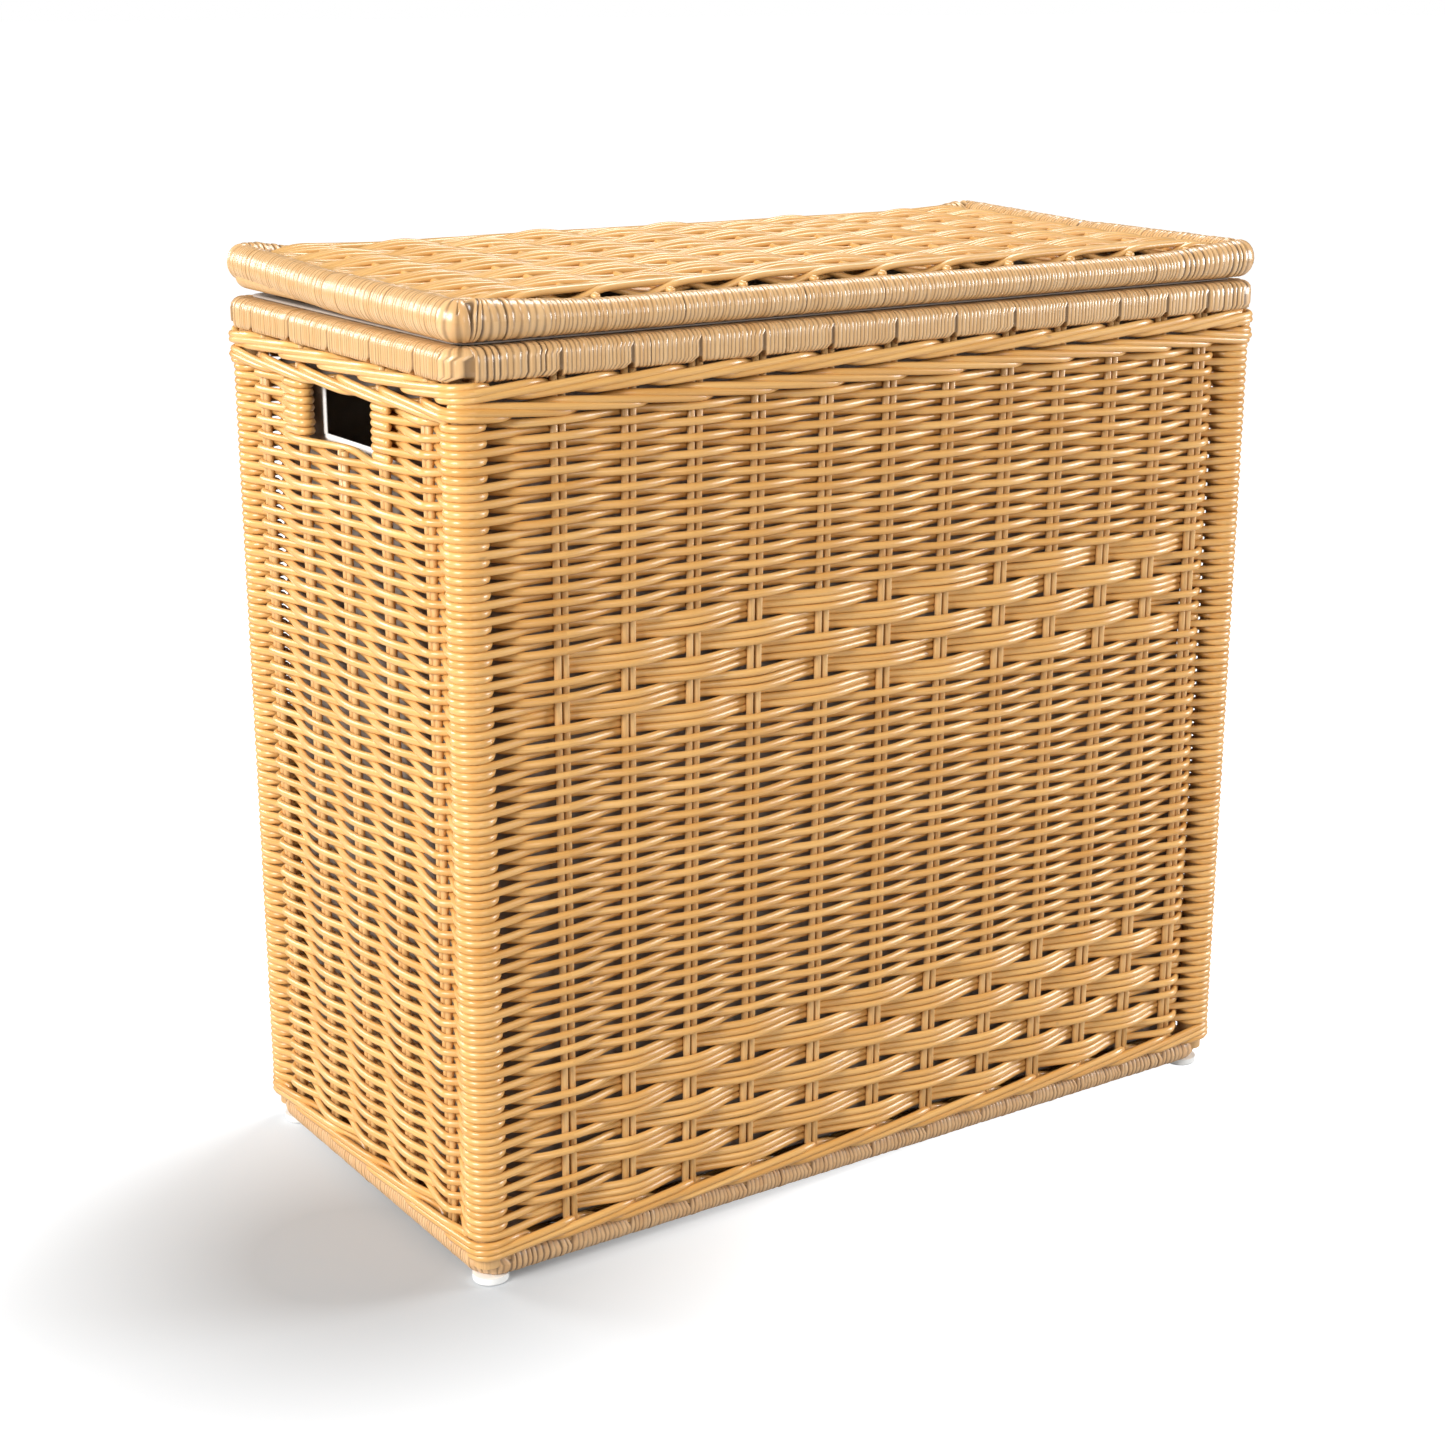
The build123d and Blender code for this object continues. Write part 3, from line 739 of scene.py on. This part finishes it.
# %% Outline of one turn of cane
def turn_outline(width, height, top, foot, around):
    """Evenly spaced points on a flat-sided outline with rounded corners, from the outer side over
    the top: offsets out and up, outward directions, and the distance round."""
    places, turns = [], []
    for x, y, radius, begin in ((width / 2 - top, height / 2 - top, top, 0),
                                (top - width / 2, height / 2 - top, top, 90),
                                (foot - width / 2, foot - height / 2, foot, 180),
                                (width / 2 - foot, foot - height / 2, foot, 270)):
        angle = np.radians(np.linspace(begin, begin + 90, 13))
        places.append(np.array([x, y]) + radius * np.stack([np.cos(angle), np.sin(angle)], -1))
        turns.append(angle)
    places, turns = np.concatenate(places + [places[0][:1]]), np.append(np.concatenate(turns), TAU)
    run = np.concatenate([[0], np.cumsum(np.linalg.norm(np.diff(places, axis=0), axis=1))])
    at = np.arange(around) / around * run[-1]
    turn = np.interp(at, run, turns)
    offsets = np.stack([np.interp(at, run, places[:, 0]), np.interp(at, run, places[:, 1])], -1)
    return offsets, np.stack([np.cos(turn), np.sin(turn)], -1), at


# %% Wound skin
def turn_edges(joints, total, coarse, wide, spread, wide_in_coarse):
    """Where each turn of cane begins: whole turns from one joint to the next."""
    edges, joint = [], []
    stops = np.append(joints, joints[0] + total)
    for begin, end in zip(stops[:-1], stops[1:]):
        here = [0.0]
        while here[-1] < end - begin:
            middle = (begin + here[-1]) % total
            loose = ((middle > coarse[:, 0]) & (middle < coarse[:, 1])).any()
            step = wide_in_coarse * rng.uniform(0.75, 1.2) if loose else rng.normal(wide, spread)
            here.append(here[-1] + max(step, 0.55 * wide))
        here = np.array(here) * (end - begin) / here[-1]
        edges.append(begin + here[:-1])
        joint.append(np.arange(len(here) - 1) == 0)
    return np.concatenate(edges), np.concatenate(joint)


def wound(half_x, half_y, bend, z, outline, wide, spread, wide_in_coarse, joints, open_share,
          groove, parting, slant, jitter=0.35 * MM, swell=None):
    """Skin of cane turns on a closed pole. Four lines of points run round the pole in each turn,
    the outer two sunk by groove. parting(side) gives how deep the joints open, by the outward
    direction on the outline; slant(fraction, side) how far a turn slides along the pole; swell(line)
    how much thicker the winding is than its outline, growing upward only. Beside the bends of the
    long sides the cane is wider and looser."""
    marks = ring_marks(half_x, half_y, bend)
    total = marks[-1]
    coarse = np.array([[0, 48 * MM], [marks[1] - 60 * MM, marks[1] + 6 * MM],
                       [marks[4], marks[4] + 48 * MM], [marks[5] - 60 * MM, marks[5] + 6 * MM]])
    edges, joint = turn_edges(joints, total, coarse, wide, spread, wide_in_coarse)
    turns = len(edges)
    width = np.diff(np.append(edges, edges[0] + total))
    loose = ((edges[:, None] % total > coarse[:, 0]) & (edges[:, None] % total < coarse[:, 1])).any(1)
    opened = (rng.random(turns) < np.where(loose, 0.55, open_share)).astype(float)
    opened[joint] = 0.5
    before, after = opened, np.roll(opened, -1)
    split, next_split = joint.astype(float), np.roll(joint, -1).astype(float)

    across = np.array([0.04, 0.27, 0.73, 0.96])
    s = (edges[:, None] + width[:, None] * across).ravel()
    offsets, outward, girth = outline
    around = len(offsets)
    zero = 0 * before
    sink = groove * np.stack([0.7 + 0.9 * before, zero, zero, 0.7 + 0.9 * after], 1).ravel()
    deep = np.stack([split, zero, zero, next_split], 1).ravel()
    proud = np.repeat(rng.normal(0, 0.1 * MM, turns), 4)[:, None]
    sink = sink[:, None] + deep[:, None] * parting(outward) - proud
    index = np.searchsorted(joints, np.repeat(edges, 4), side="right") - 1
    ends = np.append(joints, joints[0] + total)
    fraction = np.clip((s - ends[index]) / (ends[index + 1] - ends[index]), 0, 1)
    lean = np.repeat(rng.normal(0, jitter, turns), 4)[:, None]
    slide = slant(fraction[:, None], outward) + lean * outward[:, 1]
    line, out = ring_line(s[:, None] + slide, half_x, half_y, bend)
    size = 1.0 if swell is None else swell(line)
    reach = offsets[:, 0] * (1 + 0.35 * (size - 1)) - sink * outward[:, 0]
    rise = offsets[:, 1] * size - sink * outward[:, 1] + (size - 1) * offsets[:, 1].max()
    points = np.concatenate([line + reach[..., None] * out, (z + rise)[..., None]], -1)

    n = len(s)
    i, j = np.meshgrid(np.arange(n), np.arange(around), indexing="ij")
    ahead, beside = (i + 1) % n, (j + 1) % around
    quads = np.stack([i * around + j, ahead * around + j, ahead * around + beside, i * around + beside], -1)
    own = np.repeat(rng.uniform(0, 40, turns), 4)[i]
    near, far = own + girth[j], own + girth[j] + girth[1]
    v = (np.tile(across, turns) * wide)[i]
    v_ahead = np.where(i % 4 == 3, v, np.roll(np.tile(across, turns) * wide, -1)[i])
    quad_uv = np.stack([near, v, near, v_ahead, far, v_ahead, far, v], -1)
    tone = np.repeat(np.repeat(rng.beta(1.8, 2.2, turns), 4), around)
    # Painted shade for the grooves: high at the two edges of each turn, highest where the groove stands
    # open.
    groove_shade = np.stack([0.6 + 0.4 * before, zero, zero, 0.6 + 0.4 * after], 1).ravel()
    print("turns of cane", turns, "over", round(total, 3), "m")
    return cloth_of(points.reshape(-1, 3), quads.reshape(-1, 4), quad_uv.reshape(-1, 4, 2),
                    tone=tone, groove_shade=np.repeat(groove_shade, around))


def stake_stops(half_x, half_y, bend, height):
    """Distance along a ring of every stake, plus the start of each side."""
    marks = ring_marks(half_x, half_y, bend)
    stops = []
    for wall in range(4):
        places = stake_at(wall, np.array([height]))[0]
        middle = (marks[2 * wall] + marks[2 * wall + 1]) / 2
        stops.append(marks[2 * wall])
        stops += list(middle + places)
    return np.array(stops)


# %% Wind the rim, the lid and the base
def ring_of(low, high, bend_r):
    """Half sizes, centre height and section of a wound ring, from its CAD box."""
    section = high[2] - low[2]
    return high[0] - section / 2, high[1] - section / 2, bend_r, (low[2] + high[2]) / 2, section


rim_x, rim_y, rim_bend, rim_z, rim_thick = ring_of(rim_low, rim_high, 5.5 * MM)
rim_skin = wound(
    rim_x, rim_y, rim_bend, rim_z, turn_outline(rim_thick, rim_thick, 6.5 * MM, 3 * MM, 24),
    2.9 * MM, 0.3 * MM, 4.2 * MM, stake_stops(rim_x, rim_y, rim_bend, 1.0), 0.06, 0.4 * MM,
    lambda out: 2.6 * MM * np.clip(0.2 - out[:, 1], 0, 1),
    lambda f, out: -5.5 * MM * f**2 * np.clip(0.35 - out[:, 1], 0, 1))
piece("rim_cane", rim_skin, wound_cane, "basket", ["rim_binding"])

lid_x, lid_y, lid_bend, lid_z, lid_thick = ring_of(lid_low, lid_high, 5.0 * MM)
lid_marks = ring_marks(lid_x, lid_y, lid_bend)


def near_ends(x):
    """0 over the middle of the lid, rising to 1 at its two ends, clear of the hinge loops."""
    return np.clip((np.abs(x) - 195 * MM) / (85 * MM), 0, 1) ** 1.5


def tilt(x, y):
    """The lid rests low on the front of the rim; its back corners have sprung up a little."""
    return (1.5 * y / lid_y - 0.4 + 4.5 * near_ends(x) * np.clip(y / lid_y, 0, 1)) * MM


def thicker(line):
    """The winding of the lid is thickest over the two ends, slim where the hinge loops hold it."""
    return 1.0 + 0.04 * (line[..., 1] < 0) + 0.28 * near_ends(line[..., 0])


lid_skin = wound(
    lid_x, lid_y, lid_bend, lid_z, turn_outline(lid_thick, lid_thick, lid_thick / 2, lid_thick / 2, 22),
    2.75 * MM, 0.3 * MM, 4.4 * MM, lid_marks[:-1:2], 0.06, 0.4 * MM,
    lambda out: 2.2 * MM * np.ones(len(out)),
    lambda f, out: 5 * MM * np.clip(out[:, 1], 0, 1)**2 * np.exp(-(f / 0.012)**2), swell=thicker)
lid_skin["points"][:, 2] += tilt(*lid_skin["points"].T[:2])
piece("lid_cane", lid_skin, wound_cane, "lid", ["lid_binding"])

base_x, base_y, base_bend, base_z, base_thick = ring_of(base_low, base_high, 12 * MM)
base_skin = wound(
    base_x, base_y, base_bend, base_z,
    turn_outline(base_thick, base_thick, base_thick / 2, base_thick / 2, 22),
    3.1 * MM, 0.3 * MM, 3.8 * MM, stake_stops(base_x, base_y, base_bend, 0.0), 0.05, 0.35 * MM,
    lambda out: 2.4 * MM * np.clip(out[:, 1] + 0.1, 0, 1),
    lambda f, out: -4.0 * MM * f**2 * np.clip(out[:, 1], 0, 1))
piece("base_cane", base_skin, base_cane, "basket", ["base_binding"])

# %% [markdown]
# ## The lid
# Ribs run from front to back. Reeds cross them side to side in groups of five, each group over
# the ribs where its neighbours go under, so the lid shows a bricked pattern of soft bulges. It is
# slightly domed. Along the front and the back, three longer strands are twisted together
# to close the edge between the weave and the pole.

# %% Lid
rib_low, rib_high = span("lid_ribs")
rib_z = rib_high[2] - 2.0 * MM
LID_REED = 1.95 * MM
border_y = lid_y - lid_thick / 2 - 7.5 * MM


def dome(x, y):
    """How far the lid rises over its edge at a place: a low dome with a little unevenness."""
    low = np.clip(1 - (x / lid_x) ** 2, 0, 1) * np.clip(1 - (y / lid_y) ** 2, 0, 1)
    back = np.clip(0.4 + 0.7 * y / lid_y, 0, 1) * np.clip((border_y - 3 * MM - y) / (14 * MM), 0, 1)
    uneven = 0.8 * np.sin(x / 0.05 + y / 0.034) + 0.7 * np.sin(x / 0.083 - y / 0.041 + 1.0)
    return tilt(x, y) + 4 * MM * back * (1 - near_ends(x)) + MM * (1.5 + low * (4.5 + uneven))


along = np.linspace(rib_low[1] + 3 * MM, rib_high[1] - 3 * MM, 30)
rib_x = RIB_AT[:, None] + rng.normal(0, 0.5 * MM, (len(RIB_AT), 1))
rib_lines = path_of(rib_x, along, rib_z + dome(rib_x, along))
piece("lid_rib_reeds", strands(rib_lines, 2.0 * MM), lid_reed, "lid", ["lid_ribs"])

woven_y = border_y - 4.0 * MM
lid_rows = int(round(2 * woven_y / (3.72 * MM)))
lid_row_y = (np.arange(lid_rows) + 0.5) / lid_rows * 2 * woven_y - woven_y
lid_group = (np.arange(lid_rows) + 2) // 5
x = np.linspace(-1, 1, 141)[None, :] * (lid_x - 3.0 * MM)
sign = np.where(lid_group % 2 == 0, 1.0, -1.0)[:, None]
swing = sign * np.cos(math.pi * x / (RIB_AT[1] - RIB_AT[0]))
in_group = ((np.arange(lid_rows) + 2) % 5 - 2)[:, None]
lid_row_y = lid_row_y[:, None]
lid_y_at = lid_row_y + 0.5 * MM * np.sin(x / 0.043 + lid_row_y / 0.02) + 0.30 * MM * in_group * np.abs(swing)
edge_drop = np.clip((np.abs(x) - (lid_x - 24 * MM)) / (21 * MM), 0, 1) ** 2
lid_z_at = (rib_z + dome(x, lid_row_y) + swing * 3.5 * MM * (1 - 0.75 * edge_drop)
            - 0.48 * MM * in_group**2 * swing + rng.normal(0, 0.12 * MM, (lid_rows, 1))
            - 1.2 * MM * edge_drop)
share = rng.normal(1, 0.04, (lid_rows, 1))
lid_panel = strands(path_of(x, lid_y_at, lid_z_at), 2.1 * MM * share, LID_REED * share)
piece("lid_reeds", lid_panel, lid_reed, "lid", ["lid_weave"])

border = []
for side in (-1, 1):
    x = np.linspace(-1, 1, 200) * (lid_x - 13 * MM)
    lag = np.arange(3)[:, None] / 3
    phase = np.mod(x / (3 * 50 * MM) + lag + 0.1, 1.0) - 0.5
    under = np.exp(-((0.5 - np.abs(phase)) / 0.1) ** 2)
    climb = np.where(phase < 0, -0.5 - phase, 0.5 - phase) * under + phase * (1 - under)
    z = (rib_z + dome(x, side * border_y) + 3.3 * MM * (1 - 2 * under) + 0.8 * MM * np.cos(math.pi * phase)
         - 6 * MM * np.clip((np.abs(x) - (lid_x - 40 * MM)) / (27 * MM), 0, 1) ** 2)
    border.append(strands(path_of(x, side * border_y + climb * 10.5 * MM, z), 3.0 * MM, 2.3 * MM))
piece("lid_edge_twist", joined(border), lid_reed, "lid", ["lid_border"])

# %% [markdown]
# ## Floor and hinges
# The floor is plain weave over ribs that end in the base pole. The lid's back pole turns in two
# cane loops that are tied down to the rim.

# %% Floor
floor_low, floor_high = span("floor_ribs")
floor_z = (floor_low[2] + floor_high[2]) / 2
along = np.linspace(floor_low[1] + 2 * MM, floor_high[1] - 2 * MM, 12)
floor_ribs = strands(path_of(RIB_AT[:, None], along, floor_z), 2.0 * MM)
piece("floor_rib_reeds", floor_ribs, wall_reed, "basket", ["floor_ribs"])

mat_low, mat_high = span("floor_weave")
floor_rows = int((mat_high[1] - mat_low[1]) / (4.7 * MM))
x = np.linspace(mat_low[0], mat_high[0], 89)
across = (np.arange(floor_rows) + 0.5) / floor_rows
floor_y = (mat_low[1] + across * (mat_high[1] - mat_low[1]))[:, None]
swing = np.where(np.arange(floor_rows) % 2 == 0, 1.0, -1.0)[:, None] * np.cos(math.pi * x / (50 * MM))
floor_lines = path_of(x, floor_y, floor_z + swing * 3.7 * MM)
piece("floor_reeds", strands(floor_lines, 2.1 * MM), wall_reed, "basket", ["floor_weave"])

# %% Hinge loops
for side in ("left", "right"):
    low, high = span("hinge_loop_" + side)
    middle_x, radius = (low[0] + high[0]) / 2, (high[1] - low[1]) / 2 - 0.9 * MM
    centre_y, centre_z = (low[1] + high[1]) / 2, high[2] - (high[1] - low[1]) / 2
    angle = np.linspace(-np.pi / 2, np.pi / 2, 17)
    bow = np.stack([centre_y + radius * np.sin(angle), centre_z + radius * np.cos(angle)], -1)
    leg = np.linspace(low[2], centre_z, 6)[:-1]
    up_leg = np.stack([0 * leg + centre_y - radius, leg], -1)
    down_leg = np.stack([0 * leg + centre_y + radius, leg[::-1]], -1)
    profile = np.concatenate([up_leg, bow, down_leg])
    lines = np.zeros((4, len(profile), 3))
    lines[..., 0] = (middle_x + (np.arange(4) - 1.5) * 3.0 * MM)[:, None] + rng.normal(0, 0.15 * MM, (4, 1))
    lines[..., 1:] = profile
    away = np.concatenate([np.tile([-1.0, 0.0], (5, 1)), np.stack([np.sin(angle), np.cos(angle)], -1),
                           np.tile([1.0, 0.0], (5, 1))])
    away = np.concatenate([np.zeros((len(away), 1)), away], 1)
    loops = strands(lines, 1.42 * MM, 0.75 * MM, up=away)
    piece("hinge_cane_" + side, loops, wound_cane, "basket", ["hinge_loop_" + side])

# %% [markdown]
# ## The liner
# A plain cotton bag hangs inside, its edge folded out over the rim. It closes the gaps of the
# weave from behind and has a hemmed opening behind each hand hole. Its cloth is coloured a dark
# brown-grey as painted shade; only the hems show the cotton's own off-white. The bag is one grid:
# one direction goes round the basket, the other from the folded edge down the wall and in to the
# middle of the floor. Soft folds push it inward only, away from the reeds.

# %% Liner
bag_low, bag_high = span("liner")
CLOTH = 0.8 * MM
NECK = (520 * MM, 540 * MM)
BAG_HOLE = (48 * MM, 485 * MM, 519 * MM)
BAG_BEND, BAG_FOOT = 34 * MM, 9 * MM    # corner radius of the bag, and the round at its floor
bag_x, bag_y, neck_x, neck_y = 283.6 * MM, 133.6 * MM, 276.4 * MM, 126.4 * MM
cuff_z, bag_floor = bag_high[2] - 0.5 * MM, bag_low[2] + 0.6 * MM


def side_stops(half, bend, marks):
    """Distances along one straight of the bag from its middle, through the given marks."""
    stops = np.unique(np.concatenate([np.arange(0, half - bend, 7 * MM), [half - bend], marks]))
    return np.concatenate([-stops[::-1], stops[1:]])


def bag_round(half_x, half_y, bend):
    """Points and outward directions round the bag at one height; the count is always the same."""
    flat_x = side_stops(bag_x, BAG_BEND, []) / (bag_x - BAG_BEND)
    flat_y = side_stops(bag_y, BAG_BEND, [BAG_HOLE[0]]) / (bag_y - BAG_BEND)
    turn = np.radians(np.linspace(0, 90, 9)[1:-1])
    points, outs = [], []
    for k in range(4):
        way = math.radians(90 * k)
        along, out = np.array([math.cos(way), math.sin(way)]), np.array([math.sin(way), -math.cos(way)])
        flat, far, wide = (flat_x, half_x, half_y) if k % 2 == 0 else (flat_y, half_y, half_x)
        points.append(flat[:, None] * (far - bend) * along + wide * out)
        outs.append(np.tile(out, (len(flat), 1)))
        direction = np.sin(turn)[:, None] * along + np.cos(turn)[:, None] * out
        points.append((far - bend) * along + (wide - bend) * out + bend * direction)
        outs.append(direction)
    return np.concatenate(points), np.concatenate(outs)


# %% The bag, level by level
levels = [(bag_high[0] - 1 * MM, bag_high[1] - 1 * MM, 13 * MM, cuff_z)]
levels += [(x, x - 150 * MM, bend, cuff_z) for x, bend in zip(np.array([286, 281, 277.5]) * MM,
                                                             np.array([14, 17, 19]) * MM)]
levels += [(neck_x, neck_y, 20 * MM, z) for z in np.linspace(cuff_z - 1.5 * MM, NECK[1], 5)]
for t in np.linspace(0, 1, 5)[1:]:
    blend = t * t * (3 - 2 * t)
    levels.append((neck_x + (bag_x - neck_x) * blend, neck_y + (bag_y - neck_y) * blend,
                   (20 + 14 * blend) * MM, NECK[1] + (NECK[0] - NECK[1]) * t))
wall_z = np.concatenate([[BAG_HOLE[2]], np.linspace(512, 492, 4) * MM, [BAG_HOLE[1]],
                         np.linspace(476, 34, 50) * MM])
levels += [(bag_x, bag_y, BAG_BEND, z) for z in wall_z]
for t in np.radians([22, 45, 68, 90]):
    drop = BAG_FOOT * (1 - math.cos(t))
    levels.append((bag_x - drop, bag_y - drop, BAG_BEND - drop, bag_floor + BAG_FOOT * (1 - math.sin(t))))
for t in np.linspace(1, 0.03, 16)[1:]:
    inner = BAG_FOOT + (bag_y - BAG_FOOT) * (1 - t)
    levels.append((bag_x - inner, bag_y - inner, max(25 * MM * t, 0.5 * MM), bag_floor))

# %% The bag as one mesh
rings = [(np.concatenate([flat, np.full((len(flat), 1), z)], 1), out)
         for (x, y, bend, z) in levels for flat, out in [bag_round(x, y, bend)]]
bag = np.stack([ring for ring, out in rings])
outs = np.stack([out for ring, out in rings])
row, spot = bag.shape[:2]
run = np.linalg.norm(np.diff(bag[20], axis=0, append=bag[20][:1]), axis=1).cumsum()[None, :]
height = bag[..., 2]
hanging = np.clip((height - 30 * MM) / (40 * MM), 0, 1) * np.clip((NECK[0] - height) / (60 * MM), 0, 1)
fold = (np.sin(run * 61 + 2 * np.sin(height * 9)) + 0.7 * np.sin(run * 143 + 3 * height + 1)
        + 0.5 * np.sin(run * 29 - 5 * height))
bag[..., :2] -= (1.3 * MM * (fold + 2.2) * hanging * 0.7)[..., None] * outs
i, j = np.meshgrid(np.arange(row - 1), np.arange(spot), indexing="ij")
ahead = (j + 1) % spot
quads = np.stack([i * spot + j, (i + 1) * spot + j, (i + 1) * spot + ahead, i * spot + ahead], -1)
quads = quads.reshape(-1, 4)
middle = bag.reshape(-1, 3)[quads].mean(1)
in_hole = ((np.abs(middle[:, 1]) < BAG_HOLE[0]) & (np.abs(middle[:, 0]) > bag_x - 12 * MM)
           & (middle[:, 2] > BAG_HOLE[1]) & (middle[:, 2] < BAG_HOLE[2]))
quads = quads[~in_hole]
last = (row - 1) * spot + np.arange(spot)
points = np.concatenate([bag.reshape(-1, 3), bag[-1].mean(0)[None]])
caps = np.stack([last, np.full(spot, len(points) - 1), np.roll(last, -1)], -1)
corner_at = np.stack([run[0][quads % spot], height.reshape(-1)[quads]], -1)
record = cloth_of(points, quads[:, ::-1], corner_at[:, ::-1], caps[:, ::-1], np.zeros((len(caps), 3, 2)))

# %% Cotton of the bag, darkened as painted shade, and of its hems
# Painted shade: the bag's cotton gets a dark brown-grey instead of its off-white, so it reads as cloth in
# shadow behind the weave; the hems keep the off-white.
cotton, nodes, links, shader = new_paint(
    "cotton", Base_Color=(0.34, 0.29, 0.25, 1), Roughness=0.95, Specular_IOR_Level=0.1)
threads, cloth_bump = nodes.new("ShaderNodeTexNoise"), nodes.new("ShaderNodeBump")
threads.inputs["Scale"].default_value = 900.0
cloth_bump.inputs["Strength"].default_value = 0.3
cloth_bump.inputs["Distance"].default_value = 0.0003
links.new(nodes.new("ShaderNodeTexCoord").outputs["Object"], threads.inputs["Vector"])
links.new(threads.outputs["Fac"], cloth_bump.inputs["Height"])
links.new(cloth_bump.outputs["Normal"], shader.inputs["Normal"])

hem_cotton = cotton.copy()
hem_cotton.name = "hem_cotton"
hem_cotton.node_tree.nodes["Principled BSDF"].inputs["Base Color"].default_value = (0.84, 0.82, 0.80, 1)

liner_bag = piece("liner_bag", record, cotton, "basket", ["liner"])
thick = liner_bag.modifiers.new("cloth", "SOLIDIFY")
thick.thickness, thick.offset, thick.use_even_offset = CLOTH, 0.0, True

# %% Hems
hems = []
for side in (-1, 1):
    reach, low, high = BAG_HOLE
    corners_y = np.array([-reach, reach, reach, -reach])
    corners_z = np.array([low, low, high, high])
    t = np.linspace(0, 4, 96, endpoint=False)
    y = np.interp(t, np.arange(5), np.append(corners_y, corners_y[0]))
    z = np.interp(t, np.arange(5), np.append(corners_z, corners_z[0]))
    hems.append(np.stack([0 * t + side * (bag_x - 1.2 * MM), y, z], -1))
hem_record = strands(np.stack(hems), 1.1 * MM, 2.2 * MM, up=(0, 0.3, 0.7), closed=True)
liner_hem = piece("liner_hems", hem_record, hem_cotton, "basket", None)

# %% [markdown]
# ## What stays from the CAD model
# Poles, posts, glides and nails have the right shape already. They only get their finishes.

# %% Finishes of the CAD parts
pole_wood = rattan("pole_wood", (0.72, 0.45, 0.2), (0.5, 0.28, 0.1), 0.4, 0.15, uv=False)


def plain_finish(name, colour, rough, metal=0.0):
    """A single-colour finish."""
    return new_paint(name, Base_Color=(*colour, 1), Roughness=rough, Metallic=metal)[0]


white_plastic = plain_finish("white_plastic", (0.86, 0.86, 0.84), 0.35)
steel = plain_finish("steel", (0.55, 0.55, 0.54), 0.3, 1.0)
finishes = {"glide_nail": steel, "glide": white_plastic, "corner_post": pole_wood, "base_pole": pole_wood,
            "rim_pole": pole_wood, "lid_pole": pole_wood}
for node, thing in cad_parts.items():
    for start, paint in finishes.items():
        if node.startswith(start):
            for holder in thing.material_slots:
                holder.material = paint
            break
